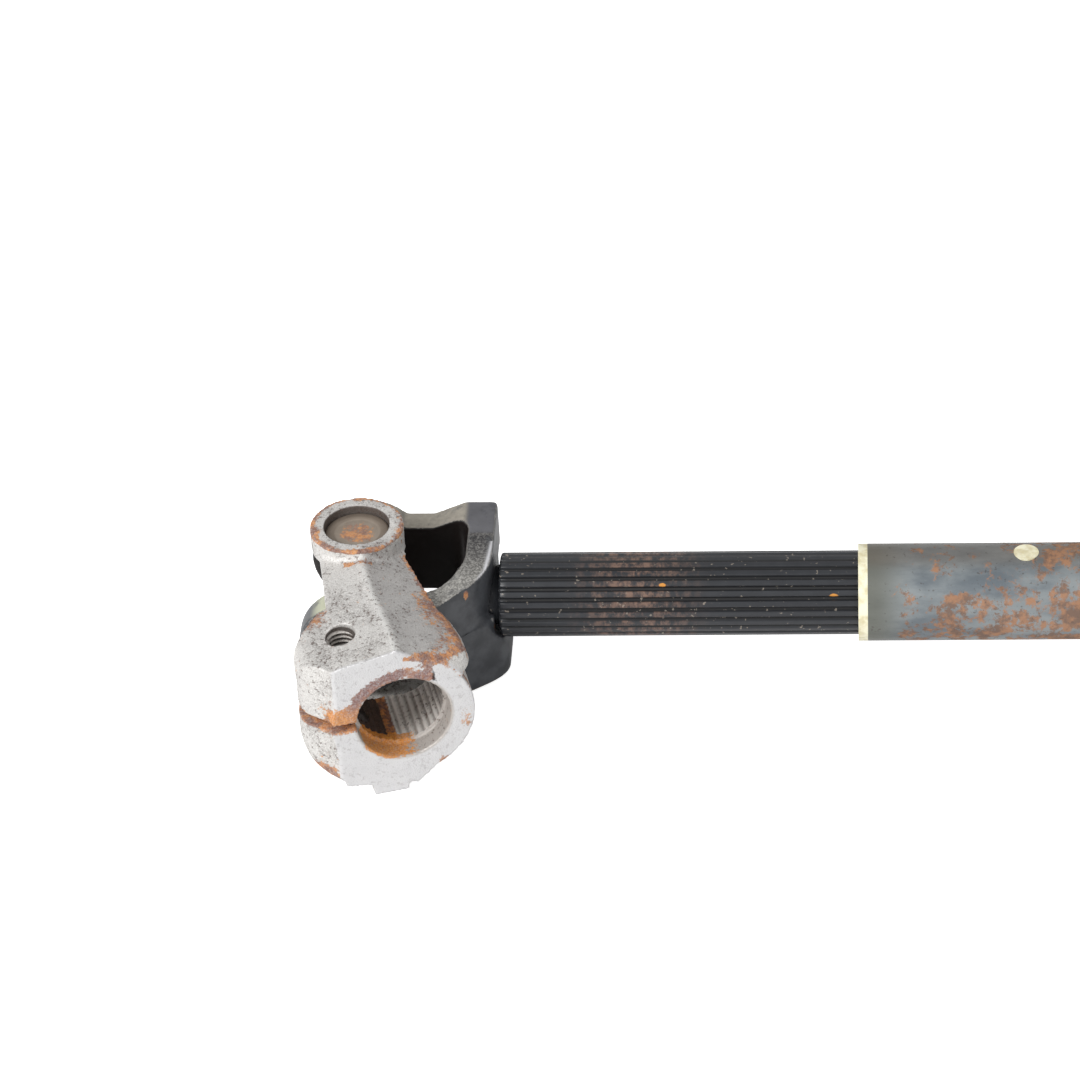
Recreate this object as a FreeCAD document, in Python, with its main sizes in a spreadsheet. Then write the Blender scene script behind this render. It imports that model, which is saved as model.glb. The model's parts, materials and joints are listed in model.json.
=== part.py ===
import FreeCAD, Part
import math
import os
import re
import Sketcher

"""Intermediate steering shaft, in millimetres.

The shaft lies along X. The origin is on the upper clamp's bore axis, where the
serrations start behind the wider mouth, so both joints are at negative X.
In both joints the clamp yoke's ears are above and below the joint's centre,
and the shaft yoke's ears are in front of it and behind it.
"""

V = FreeCAD.Vector

SIZES = {
    # the whole shaft
    "joint_distance": 330.0,      # from joint centre to joint centre
    "fold_angle": 106.0,          # lower clamp's turn away from straight
    # both joints
    "ear_reach": 21.8,            # joint centre to the ears' outer faces
    "cup_radius": 8.0,
    "cup_wall": 1.0,
    "cup_floor": 1.5,
    "cup_recess": 2.3,            # cup's outer face below the ear's face
    "cup_apart": 0.9,             # spare room between two cups' open ends
    "dish_edge": 1.9,
    "dish_depth": 0.35,
    "press_gap": 0.02,            # cup in its ear
    "needle_radius": 1.0,
    "needle_sides": 8.0,
    "needle_play": 0.04,
    "end_play": 0.08,             # trunnion's end to the cup's floor
    "shoulder_wide": 1.4,
    "shoulder_gap": 0.5,
    "core_step": 0.7,
    "core_bevel": 2.2,
    "seal_thick": 1.2,
    "seal_gap": 0.25,
    "seal_inset": 0.5,
    # clamp yokes
    "clamp_length": 50.6,         # joint centre to the machined end face
    "boss_wall": 3.35,
    "ear_thick": 6.6,
    "crest_root_drop": 2.1,
    "crest_widest_drop": 1.8,
    "crest_end_drop": 1.7,
    "crest_root_aside": 3.2,
    "crest_widest_aside": 1.0,
    "crest_end_aside": 2.4,
    "widest_back": 12.0,          # end face to the arms' widest place
    "arm_left_root": 10.0,
    "arm_left_widest": 14.1,
    "arm_left_end": 15.4,
    "arm_right_root": 10.7,
    "arm_right_widest": 16.2,
    "arm_right_end": 14.4,
    "side_root_drop": 6.2,
    "side_widest_drop": 10.6,
    "side_end_drop": 12.4,
    "side_left_drop": 4.0,
    "throat_room": 5.4,
    "throat_slope": 20.0,
    "block_drop": 4.6,
    "block_under": 15.9,
    "block_wall": 12.2,           # bolt's axis to the block's side
    "block_bevel": 7.4,
    "block_length": 24.4,
    "block_turn": 1.0,
    "block_root": 26.6,
    "block_round": 6.5,
    "jaw_round": 8.0,
    "top_round": 5.0,
    "tab_left": 8.7,
    "tab_right": -0.1,
    "tab_depth": 7.0,
    "bore_radius": 10.4,
    "mouth_step": 1.05,
    "mouth_depth": 5.4,
    "hub_wall": 5.85,
    "slit_low": -1.0,
    "slit_width": 2.1,
    "bolt_radius": 4.0,
    "bolt_play": 0.3,             # wider hole in the lower jaw
    "bolt_back": 13.2,            # end face to the bolt's axis
    "bolt_aside": 0.7,           # bore's wall to the bolt's axis
    "serration_count": 36.0,
    "serration_depth": 0.45,
    "serration_half": 0.42,
    # shaft yokes
    "plate": 6.9,
    "tip_wall": 5.8,
    "waist_wall": 1.6,
    "base_clear": 2.2,            # clamp's arms to the shaft yoke's base
    "base_low": 5.2,              # lower edge of the base below its upper one's height
    "base_inner": 25.9,
    "flare_start": 17.0,
    "flare_end": 25.0,
    "bend_inner": 15.0,
    "corner_round": 1.5,
    "corner_inner": 5.0,
    "foot_reach": 3.2,
    "foot_top": 0.5,
    "foot_low": 6.5,
    "foot_inset": 5.0,
    "foot_round": 2.4,
    "stub_radius": 7.0,
    "stub_proud": 2.8,
    # ribbed shaft, sliding lining and tube
    "neck_length": 1.5,
    "rib_radius": 10.35,
    "rib_count": 24.0,
    "rib_turn": 9.0,
    "groove_depth": 0.9,
    "groove_top": 0.55,
    "groove_floor": 0.3,
    "ribbed_length": 165.0,
    "end_bevel": 1.0,
    "slide_play": 0.05,
    "mouth_distance": 122.2,      # lower joint centre to the tube's mouth
    "lip_length": 2.3,
    "lining_wall": 0.38,
    "lining_length": 66.0,
    "tube_wall": 1.2,
    "peg_distance": 41.2,         # tube's mouth to the pegs
    "peg_radius": 3.1,
    "peg_play": 0.05,
    "spigot_length": 14.0,
}

# sizes that follow from others
CUP_FACE = "(ear_reach - cup_recess)"
CUP_OPEN = "(cup_radius + cup_apart)"
CUP_INSIDE = "(ear_reach - cup_recess - dish_depth - cup_floor)"
TRUNNION = "(cup_radius - cup_wall - 2 * needle_radius - 2 * needle_play)"
SHOULDER = "(cup_radius + cup_apart - seal_thick - shoulder_gap)"
CORE_HALF = "(cup_radius + cup_apart - seal_thick - shoulder_gap - core_step)"
ARM_GAP = "(ear_reach - ear_thick)"
THROAT = "(ear_reach + throat_room)"
BLOCK_TOP = "(ear_reach - block_drop)"
BOLT_ALONG = "(clamp_length - bolt_back)"
BOLT_ACROSS = "(bore_radius + bolt_aside)"
BLOCK_REACH = "(bore_radius + bolt_aside + block_wall)"
MOUTH_RADIUS = "(bore_radius + mouth_step)"
HUB_RADIUS = "(bore_radius + mouth_step + hub_wall)"
EAR_TIP = "(cup_radius + tip_wall)"
WAIST = "(cup_radius + waist_wall)"
BASE_HALF = "(ear_reach - ear_thick - base_clear)"
BASE_UNDER = "(ear_reach - ear_thick - base_clear + base_low)"
BASE_OUTER = "(base_inner + plate)"
FOOT_FRONT = "(base_inner + plate + foot_reach)"
LINING_BORE = "(rib_radius + slide_play)"
LINING_OUTER = "(rib_radius + slide_play + lining_wall)"
TUBE_INNER = "(rib_radius + slide_play + lining_wall + press_gap)"
TUBE_OUTER = "(rib_radius + slide_play + lining_wall + press_gap + tube_wall)"
PEG_PLACE = "(mouth_distance + peg_distance)"
UPPER = "(mouth_depth - clamp_length)"
LOWER = "(mouth_depth - clamp_length - joint_distance)"

doc = FreeCAD.newDocument("steering_shaft")
sheet = doc.addObject("Spreadsheet::Sheet", "Sizes")
for row, (size_name, size) in enumerate(SIZES.items(), start=1):
    sheet.set("A%d" % row, "'" + size_name.replace("_", " "))
    sheet.set("B%d" % row, str(size))
    sheet.setAlias("B%d" % row, size_name)
doc.recompute()

parts = []


def formula(text):
    """The text with each size's name made a reference to its cell."""
    def cell(found):
        word = found.group()
        return "Sizes." + word if word in SIZES else word
    return re.sub(r"[a-z_]+", cell, text)


def number(text):
    """What the text comes to with the sheet's present sizes."""
    return float(sheet.evalExpression(formula(text)))


def tie(thing, field, text):
    """Binds a field of an object to the sizes."""
    thing.setExpression(field, formula(text))


def new_body(name):
    """An empty body that will be written as one sub-part."""
    body = doc.addObject("PartDesign::Body", name)
    body.Label = name
    parts.append(body)
    return body


def sketch_on(body, name, role, offset=None):
    """An empty sketch on one of the body's own planes, or ahead of it."""
    sketch = body.newObject("Sketcher::SketchObject", body.Name + "_" + name)
    plane = [o for o in body.Origin.OriginFeatures if o.Role == role][0]
    sketch.AttachmentSupport = (plane, "")
    sketch.MapMode = "FlatFace"
    if offset:
        tie(sketch, "AttachmentOffset.Base.z", offset)
    return sketch


def fix_point(sketch, item, end, across, up):
    """Holds a point of the sketch at two formulas from the origin."""
    for kind, text, axis in (("DistanceX", across, -2), ("DistanceY", up, -1)):
        if text is None:
            continue
        if text == "0":
            sketch.addConstraint(Sketcher.Constraint("PointOnObject", item, end, axis))
            continue
        row = sketch.addConstraint(Sketcher.Constraint(kind, -1, 1, item, end, number(text)))
        tie(sketch, "Constraints[%d]" % row, text)


def outline(sketch, corners):
    """A closed outline of straight edges through the corners."""
    points = [V(number(across), number(up), 0) for across, up in corners]
    first = sketch.GeometryCount
    count = len(points)
    for k in range(count):
        sketch.addGeometry(Part.LineSegment(points[k], points[(k + 1) % count]), False)
    for k in range(count):
        after = first + (k + 1) % count
        sketch.addConstraint(Sketcher.Constraint("Coincident", first + k, 2, after, 1))
    for k, (across, up) in enumerate(corners):
        fix_point(sketch, first + k, 1, across, up)


def circle(sketch, across, up, radius):
    """A circle with its centre and radius tied to the sizes."""
    centre = V(number(across), number(up), 0)
    item = sketch.addGeometry(Part.Circle(centre, V(0, 0, 1), number(radius)), False)
    fix_point(sketch, item, 3, across, up)
    row = sketch.addConstraint(Sketcher.Constraint("Radius", item, number(radius)))
    tie(sketch, "Constraints[%d]" % row, radius)


def extrude(kind, body, sketch, length=None, both=False, forward=True):
    """A pad or a pocket; a pocket without a length goes right through."""
    feature = body.newObject("PartDesign::" + kind, sketch.Name + "_" + kind.lower())
    feature.Profile = sketch
    if length is None:
        feature.Type = "ThroughAll"
    else:
        tie(feature, "Length", length)
    if both:
        feature.SideType = "Symmetric"
    feature.Reversed = (kind == "Pocket") == forward
    sketch.Visibility = False
    return feature


def revolve(kind, body, sketch, axis):
    """A full turn of the sketch about one of its axes."""
    feature = body.newObject("PartDesign::" + kind, sketch.Name + "_turn")
    feature.Profile = sketch
    feature.ReferenceAxis = (sketch, [axis])
    feature.Angle = 360.0
    sketch.Visibility = False
    return feature


def polar(body, feature, axis_role, count):
    """Copies of a feature spread evenly about one of the body's axes."""
    doc.recompute()
    pattern = body.newObject("PartDesign::PolarPattern", feature.Name + "_round")
    pattern.Originals = [feature]
    axis = [o for o in body.Origin.OriginFeatures if o.Role == axis_role][0]
    pattern.Axis = (axis, [""])
    pattern.Angle = 360.0
    tie(pattern, "Occurrences", count)
    body.Tip = pattern
    doc.recompute()
    return pattern


def near_edges(body, points):
    """Names of the edges of the body's last feature nearest to the points."""
    doc.recompute()
    edges = body.Tip.Shape.Edges
    names = []
    for point in points:
        probe = Part.Vertex(point)
        gaps = [probe.distToShape(edge)[0] for edge in edges]
        names.append("Edge%d" % (gaps.index(min(gaps)) + 1))
    return names


def soften(body, kind, points, size):
    """A fillet or chamfer of the edges nearest to the points."""
    last = body.Tip
    names = near_edges(body, points)
    feature = body.newObject("PartDesign::" + kind, "%s_%s_%d" % (body.Name, kind.lower(), len(body.Group)))
    feature.Base = (last, names)
    tie(feature, "Radius" if kind == "Fillet" else "Size", size)
    doc.recompute()
    return feature


def bearing_cup(name):
    """A drawn cup, open towards the joint's centre, with a shallow dish in its floor."""
    body = new_body(name)
    sketch = sketch_on(body, "section", "XZ_Plane")
    outline(sketch, [
        ("cup_radius - cup_wall", CUP_OPEN),
        ("cup_radius - press_gap", CUP_OPEN),
        ("cup_radius - press_gap", CUP_FACE),
        ("cup_radius - dish_edge", CUP_FACE),
        ("cup_radius - dish_edge - dish_depth", CUP_FACE + " - dish_depth"),
        ("0", CUP_FACE + " - dish_depth"),
        ("0", CUP_INSIDE),
        ("cup_radius - cup_wall", CUP_INSIDE),
    ])
    revolve("Revolution", body, sketch, "V_Axis")
    return body


def seal_ring(name):
    """A rubber ring between the cup's open end and the cross's shoulder."""
    body = new_body(name)
    sketch = sketch_on(body, "section", "XZ_Plane")
    outline(sketch, [
        (TRUNNION + " + seal_gap", CUP_OPEN + " - seal_thick"),
        ("cup_radius - seal_inset", CUP_OPEN + " - seal_thick"),
        ("cup_radius - seal_inset", CUP_OPEN),
        (TRUNNION + " + seal_gap", CUP_OPEN),
    ])
    revolve("Revolution", body, sketch, "V_Axis")
    return body


def needle_set(name):
    """The loose rollers that fill the room between one trunnion and its cup, with few sides each."""
    radius = number("needle_radius")
    pitch = number(TRUNNION + " + needle_play + needle_radius")
    low = number(CUP_OPEN + " + seal_gap")
    length = number(CUP_INSIDE + " - end_play") - low
    count = int(math.pi / math.asin(radius / pitch))
    sides = int(number("needle_sides"))
    rollers = []
    for k in range(count):
        angle = 2 * math.pi * k / count
        centre = V(pitch * math.cos(angle), pitch * math.sin(angle), low)
        rim = []
        for j in range(sides + 1):
            turn = angle + 2 * math.pi * j / sides
            rim.append(centre + V(radius * math.cos(turn), radius * math.sin(turn), 0))
        rollers.append(Part.Face(Part.makePolygon(rim)).extrude(V(0, 0, length)))
    group = doc.addObject("Part::Feature", name)
    group.Label = name
    group.Shape = Part.makeCompound(rollers)
    parts.append(group)
    return group


def cross(name):
    """The forged spider: two trunnions up and down, two to the front and back."""
    body = new_body(name)
    tip = "(" + CUP_INSIDE + " - end_play)"
    for label, role in (("upright", "XZ_Plane"), ("level", "XY_Plane")):
        sketch = sketch_on(body, label, role)
        outline(sketch, [
            ("0", "-" + tip),
            (TRUNNION, "-" + tip),
            (TRUNNION, "-" + SHOULDER),
            (TRUNNION + " + shoulder_wide", "-" + SHOULDER),
            (TRUNNION + " + shoulder_wide", SHOULDER),
            (TRUNNION, SHOULDER),
            (TRUNNION, tip),
            ("0", tip),
        ])
        revolve("Revolution", body, sketch, "V_Axis")
    sketch = sketch_on(body, "core", "YZ_Plane")
    low = "(" + CORE_HALF + " - core_bevel)"
    outline(sketch, [
        ("-" + CORE_HALF, "-" + low), ("-" + low, "-" + CORE_HALF), (low, "-" + CORE_HALF), (CORE_HALF, "-" + low),
        (CORE_HALF, low), (low, CORE_HALF), ("-" + low, CORE_HALF), ("-" + CORE_HALF, low),
    ])
    extrude("Pad", body, sketch, "2 * " + CORE_HALF, both=True)
    return body


def clamp_arms(body):
    """Both arms as one roofed bar from the ears to the end face, with a crest along it."""
    sections = []
    stations = (
        ("root", None, "-crest_root_aside"),
        ("widest", "clamp_length - widest_back", "crest_widest_aside"),
        ("end", "clamp_length", "crest_end_aside"),
    )
    for label, offset, ridge in stations:
        crest = "(ear_reach - crest_%s_drop)" % label
        side = "(ear_reach - side_%s_drop)" % label
        left_top = "(ear_reach - side_left_drop)"
        left = "arm_left_" + label
        right = "arm_right_" + label
        sketch = sketch_on(body, "arm_" + label, "YZ_Plane", offset)
        outline(sketch, [
            ("-" + left, "-" + left_top), (ridge, "-" + crest), (right, "-" + side),
            (right, side), (ridge, crest), ("-" + left, left_top),
        ])
        sketch.Visibility = False
        sections.append(sketch)
    loft = body.newObject("PartDesign::AdditiveLoft", body.Name + "_arms")
    loft.Profile = sections[0]
    loft.Sections = sections[1:]
    loft.Ruled = True
    return loft


def clamp_block(body):
    """The pinch block beside the bore, rounded where the slit ends."""
    sketch = sketch_on(body, "block", "XY_Plane", "-block_under")
    turn_back = (BOLT_ALONG + " - block_turn", "-" + BLOCK_REACH)
    turn_front = ("clamp_length - block_bevel", "-" + BLOCK_REACH)
    outline(sketch, [
        ("clamp_length - block_root", "0"),
        ("clamp_length - block_root", "-" + MOUTH_RADIUS + " / 2"),
        ("clamp_length - block_length", "-" + BLOCK_REACH + " + block_bevel + block_turn"),
        turn_back,
        turn_front,
        ("clamp_length", "-" + BLOCK_REACH + " + block_bevel"),
        ("clamp_length", "0"),
    ])
    extrude("Pad", body, sketch, BLOCK_TOP + " + block_under")
    turns = [V(number(along), number(across), 0) for along, across in (turn_back, turn_front)]
    soften(body, "Fillet", turns, "block_round")


def round_off(body, label, size, side, height):
    """Cuts an outer edge of the pinch block to a quarter round, seen from the end face."""
    sketch = sketch_on(body, label, "YZ_Plane", "clamp_length")
    middle = (size + " - " + BLOCK_REACH, "%d * (%s - %s)" % (side, height, size))
    far = "-2 * " + BLOCK_REACH
    past = "%d * 2 * %s" % (side, height)
    corners = [(middle[0], past), (far, past), (far, middle[1])]
    centre = V(number(middle[0]), number(middle[1]), 0)
    radius = number(size)
    arc = (math.pi, 1.5 * math.pi) if side < 0 else (0.5 * math.pi, math.pi)
    bend = sketch.addGeometry(Part.ArcOfCircle(Part.Circle(centre, V(0, 0, 1), radius), *arc), False)
    fix_point(sketch, bend, 3, *middle)
    row = sketch.addConstraint(Sketcher.Constraint("Radius", bend, radius))
    tie(sketch, "Constraints[%d]" % row, size)
    points = [V(number(across), number(up), 0) for across, up in corners]
    chain = [centre + V(0, side * radius, 0)] + points + [centre - V(radius, 0, 0)]
    first = sketch.GeometryCount
    for k in range(len(chain) - 1):
        sketch.addGeometry(Part.LineSegment(chain[k], chain[k + 1]), False)
    last = sketch.GeometryCount - 1
    for k in range(first, last):
        sketch.addConstraint(Sketcher.Constraint("Coincident", k, 2, k + 1, 1))
    for k, (across, up) in enumerate(corners):
        fix_point(sketch, first + k, 2, across, up)
    ends = (2, 1) if side < 0 else (1, 2)
    sketch.addConstraint(Sketcher.Constraint("Coincident", bend, ends[0], first, 1))
    sketch.addConstraint(Sketcher.Constraint("Coincident", last, 2, bend, ends[1]))
    sketch.addConstraint(Sketcher.Constraint("Horizontal", last))
    extrude("Pocket", body, sketch, "clamp_length - " + THROAT, forward=False)


def clamp_yoke(name):
    """A forged clamp: ear bosses, crested arms, hub with pinch block, tab, throat and bores."""
    body = new_body(name)
    sketch = sketch_on(body, "bosses", "XY_Plane")
    circle(sketch, "0", "0", "cup_radius + boss_wall")
    extrude("Pad", body, sketch, "2 * ear_reach", both=True)
    clamp_arms(body)
    sketch = sketch_on(body, "hub", "YZ_Plane", "clamp_length")
    circle(sketch, "0", "0", HUB_RADIUS)
    extrude("Pad", body, sketch, "clamp_length - " + THROAT, forward=False)
    clamp_block(body)
    round_off(body, "jaw", "jaw_round", -1, "block_under")
    round_off(body, "top", "top_round", 1, BLOCK_TOP)
    sketch = sketch_on(body, "tab", "YZ_Plane", "clamp_length")
    outline(sketch, [
        ("-tab_left", "0"), ("-tab_left", "-ear_reach"), ("-tab_right", "-ear_reach"), ("-tab_right", "0"),
    ])
    extrude("Pad", body, sketch, "tab_depth", forward=False)
    sketch = sketch_on(body, "throat", "XY_Plane")
    wide = "3 * " + HUB_RADIUS
    outline(sketch, [
        ("-" + wide, "-" + wide),
        (THROAT + " + tan(throat_slope) * " + wide, "-" + wide),
        (THROAT, "0"),
        (THROAT + " + tan(throat_slope) * " + wide, wide),
        ("-" + wide, wide),
    ])
    extrude("Pocket", body, sketch, "2 * " + ARM_GAP, both=True)
    sketch = sketch_on(body, "ear_holes", "XY_Plane")
    circle(sketch, "0", "0", "cup_radius")
    extrude("Pocket", body, sketch, both=True)
    sketch = sketch_on(body, "bore", "YZ_Plane", "clamp_length")
    circle(sketch, "0", "0", "bore_radius")
    extrude("Pocket", body, sketch, "clamp_length", forward=False)
    sketch = sketch_on(body, "mouth", "YZ_Plane", "clamp_length")
    circle(sketch, "0", "0", MOUTH_RADIUS)
    extrude("Pocket", body, sketch, "mouth_depth", forward=False)
    sketch = sketch_on(body, "slit", "YZ_Plane", "clamp_length")
    outline(sketch, [
        ("0", "slit_low"), ("0", "slit_low + slit_width"),
        ("-2 * " + BLOCK_REACH, "slit_low + slit_width"), ("-2 * " + BLOCK_REACH, "slit_low"),
    ])
    extrude("Pocket", body, sketch, "clamp_length", forward=False)
    sketch = sketch_on(body, "bolt_thread", "XY_Plane", "ear_reach")
    circle(sketch, BOLT_ALONG, "-" + BOLT_ACROSS, "bolt_radius")
    extrude("Pocket", body, sketch, "ear_reach", forward=False)
    sketch = sketch_on(body, "bolt_clearance", "XY_Plane", "slit_low")
    circle(sketch, BOLT_ALONG, "-" + BOLT_ACROSS, "bolt_radius + bolt_play")
    extrude("Pocket", body, sketch, "2 * block_under", forward=False)
    sketch = sketch_on(body, "serration", "YZ_Plane", "clamp_length")
    outline(sketch, [
        ("-serration_half", "bore_radius - serration_half / 4"),
        ("0", "bore_radius + serration_depth"),
        ("serration_half", "bore_radius - serration_half / 4"),
    ])
    groove = extrude("Pocket", body, sketch, "clamp_length", forward=False)
    polar(body, groove, "X_Axis", "serration_count")
    return body


def yoke_silhouette(body):
    """Trims the bent plate to its side view: round ear tips, narrow waist, flared base."""
    sketch = sketch_on(body, "side", "XZ_Plane")
    wide = "3 * ear_reach"
    outline(sketch, [("-" + wide, "-" + wide), (wide, "-" + wide), (wide, wide), ("-" + wide, wide)])
    run = number("sqrt(" + EAR_TIP + " ^ 2 - " + WAIST + " ^ 2)")
    high = number(WAIST)
    start = math.atan2(high, run)
    tip = sketch.addGeometry(
        Part.ArcOfCircle(Part.Circle(V(0, 0, 0), V(0, 0, 1), number(EAR_TIP)), start, 2 * math.pi - start), False)
    sketch.addConstraint(Sketcher.Constraint("Coincident", tip, 3, -1, 1))
    row = sketch.addConstraint(Sketcher.Constraint("Radius", tip, number(EAR_TIP)))
    tie(sketch, "Constraints[%d]" % row, EAR_TIP)
    corners = [
        ("flare_start", "-" + WAIST), ("flare_end", "-" + BASE_UNDER), (FOOT_FRONT, "-" + BASE_UNDER),
        (FOOT_FRONT, BASE_HALF), ("flare_end", BASE_HALF), ("flare_start", WAIST),
    ]
    points = [V(number(across), number(up), 0) for across, up in corners]
    chain = [V(run, -high, 0)] + points + [V(run, high, 0)]
    first = sketch.GeometryCount
    for k in range(len(chain) - 1):
        sketch.addGeometry(Part.LineSegment(chain[k], chain[k + 1]), False)
    last = sketch.GeometryCount - 1
    for k in range(first, last):
        sketch.addConstraint(Sketcher.Constraint("Coincident", k, 2, k + 1, 1))
    for k, (across, up) in enumerate(corners):
        fix_point(sketch, first + k, 2, across, up)
    sketch.addConstraint(Sketcher.Constraint("Coincident", tip, 2, first, 1))
    sketch.addConstraint(Sketcher.Constraint("Coincident", last, 2, tip, 1))
    sketch.addConstraint(Sketcher.Constraint("Horizontal", first))
    sketch.addConstraint(Sketcher.Constraint("Horizontal", last))
    extrude("Pocket", body, sketch, both=True)


def shaft_yoke(name, seat_radius, spigot):
    """A yoke bent from thick plate: a U with a wide bend in front and a square one behind."""
    body = new_body(name)
    sketch = sketch_on(body, "plate", "XY_Plane")
    inner = "(ear_reach - plate)"
    tip = "-" + EAR_TIP
    outline(sketch, [
        (tip, "-ear_reach"), (BASE_OUTER, "-ear_reach"), (BASE_OUTER, "ear_reach"), (tip, "ear_reach"),
        (tip, inner), ("base_inner", inner), ("base_inner", "-" + inner), (tip, "-" + inner),
    ])
    extrude("Pad", body, sketch, "4 * " + EAR_TIP, both=True)
    outer = number(BASE_OUTER)
    inside = number("base_inner")
    reach = number("ear_reach")
    face = number(inner)
    soften(body, "Fillet", [V(outer, -reach, 0)], "bend_inner + plate")
    soften(body, "Fillet", [V(inside, -face, 0)], "bend_inner")
    soften(body, "Fillet", [V(inside, face, 0)], "corner_inner")
    soften(body, "Fillet", [V(outer, reach, 0)], "corner_round")
    sketch = sketch_on(body, "foot", "XZ_Plane")
    outline(sketch, [
        ("base_inner + corner_round", "-foot_top"), (BASE_OUTER, "-foot_top"),
        (FOOT_FRONT, "-foot_low"), (FOOT_FRONT, "-" + BASE_UNDER),
        ("base_inner + corner_round", "-" + BASE_UNDER),
    ])
    extrude("Pad", body, sketch, "2 * (ear_reach - foot_inset)", both=True)
    front = number(FOOT_FRONT)
    low = number("-(" + BASE_UNDER + " + foot_low) / 2")
    half = number("ear_reach - foot_inset")
    soften(body, "Fillet", [V(front, -half, low), V(front, half, low)], "foot_round")
    yoke_silhouette(body)
    sketch = sketch_on(body, "ear_holes", "XZ_Plane")
    circle(sketch, "0", "0", "cup_radius")
    extrude("Pocket", body, sketch, both=True)
    sketch = sketch_on(body, "seat", "YZ_Plane", BASE_OUTER)
    circle(sketch, "0", "0", seat_radius)
    extrude("Pocket", body, sketch, "3 * plate")
    if spigot:
        sketch = sketch_on(body, "spigot", "YZ_Plane", BASE_OUTER)
        circle(sketch, "0", "0", LINING_OUTER)
        extrude("Pad", body, sketch, "spigot_length")
    else:
        sketch = sketch_on(body, "base_hole", "YZ_Plane")
        circle(sketch, "0", "0", "stub_radius + press_gap")
        extrude("Pocket", body, sketch)
    return body


def ribbed_shaft(name):
    """A round bar with rolled grooves, a plain neck and a stub through the yoke's base."""
    body = new_body(name)
    start = "(" + BASE_OUTER + " + neck_length)"
    finish = "(" + BASE_OUTER + " + neck_length + ribbed_length)"
    sketch = sketch_on(body, "section", "XZ_Plane")
    outline(sketch, [
        ("base_inner - stub_proud", "0"),
        ("base_inner - stub_proud", "stub_radius - end_bevel"),
        ("base_inner - stub_proud + end_bevel", "stub_radius"),
        (BASE_OUTER, "stub_radius"),
        (BASE_OUTER, "rib_radius"),
        (finish + " - end_bevel", "rib_radius"),
        (finish, "rib_radius - end_bevel"),
        (finish, "0"),
    ])
    revolve("Revolution", body, sketch, "H_Axis")
    sketch = sketch_on(body, "groove", "YZ_Plane", start)
    outline(sketch, [
        ("-groove_floor", "rib_radius - groove_depth"), ("groove_floor", "rib_radius - groove_depth"),
        ("groove_top", "rib_radius + slide_play"), ("-groove_top", "rib_radius + slide_play"),
    ])
    groove = extrude("Pocket", body, sketch)
    polar(body, groove, "X_Axis", "rib_count")
    return body


def slide_lining(name):
    """A moulded lining with a lip at the mouth, teeth in the shaft's grooves and two pegs."""
    body = new_body(name)
    finish = "(mouth_distance + lining_length)"
    sketch = sketch_on(body, "section", "XZ_Plane")
    outline(sketch, [
        ("mouth_distance", LINING_BORE), (finish, LINING_BORE), (finish, LINING_OUTER),
        ("mouth_distance + lip_length", LINING_OUTER), ("mouth_distance + lip_length", TUBE_OUTER),
        ("mouth_distance", TUBE_OUTER),
    ])
    revolve("Revolution", body, sketch, "H_Axis")
    sketch = sketch_on(body, "tooth", "YZ_Plane", "mouth_distance")
    outline(sketch, [
        ("-groove_floor + slide_play", "rib_radius - groove_depth + 2 * slide_play"),
        ("groove_floor - slide_play", "rib_radius - groove_depth + 2 * slide_play"),
        ("groove_top - slide_play", "rib_radius + 4 * slide_play"),
        ("-groove_top + slide_play", "rib_radius + 4 * slide_play"),
    ])
    tooth = extrude("Pad", body, sketch, "lining_length")
    polar(body, tooth, "X_Axis", "rib_count")
    for side, turn in (("top", "-rib_turn"), ("bottom", "180 - rib_turn")):
        sketch = sketch_on(body, "peg_" + side, "XY_Plane")
        sketch.AttachmentOffset = FreeCAD.Placement(V(0, 0, 0), FreeCAD.Rotation(V(1, 0, 0), number(turn)))
        tie(sketch, "AttachmentOffset.Rotation.Angle", turn)
        circle(sketch, PEG_PLACE, "0", "peg_radius")
        extrude("Pad", body, sketch, TUBE_OUTER)
        hollow = sketch_on(body, "clear_" + side, "YZ_Plane", PEG_PLACE + " - 2 * peg_radius")
        circle(hollow, "0", "0", LINING_BORE)
        extrude("Pocket", body, hollow, "4 * peg_radius")
    return body


def outer_tube(name):
    """A drawn tube with a hole for each peg."""
    body = new_body(name)
    start = "(mouth_distance + lip_length)"
    finish = "(joint_distance - base_inner - plate)"
    sketch = sketch_on(body, "section", "XZ_Plane")
    outline(sketch, [
        (start, TUBE_INNER), (finish, TUBE_INNER), (finish, TUBE_OUTER), (start, TUBE_OUTER),
    ])
    revolve("Revolution", body, sketch, "H_Axis")
    sketch = sketch_on(body, "peg_holes", "XY_Plane")
    circle(sketch, PEG_PLACE, "0", "peg_radius + peg_play")
    extrude("Pocket", body, sketch, both=True)
    return body


def put(thing, along, axis, angle):
    """Sets a finished piece at its place along the shaft, turned about the joint's centre."""
    turn = FreeCAD.Rotation(axis, number(angle))
    thing.Placement = FreeCAD.Placement(V(number(along), 0, 0), turn)
    if hasattr(thing, "Group"):
        tie(thing, "Placement.Base.x", along)


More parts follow.
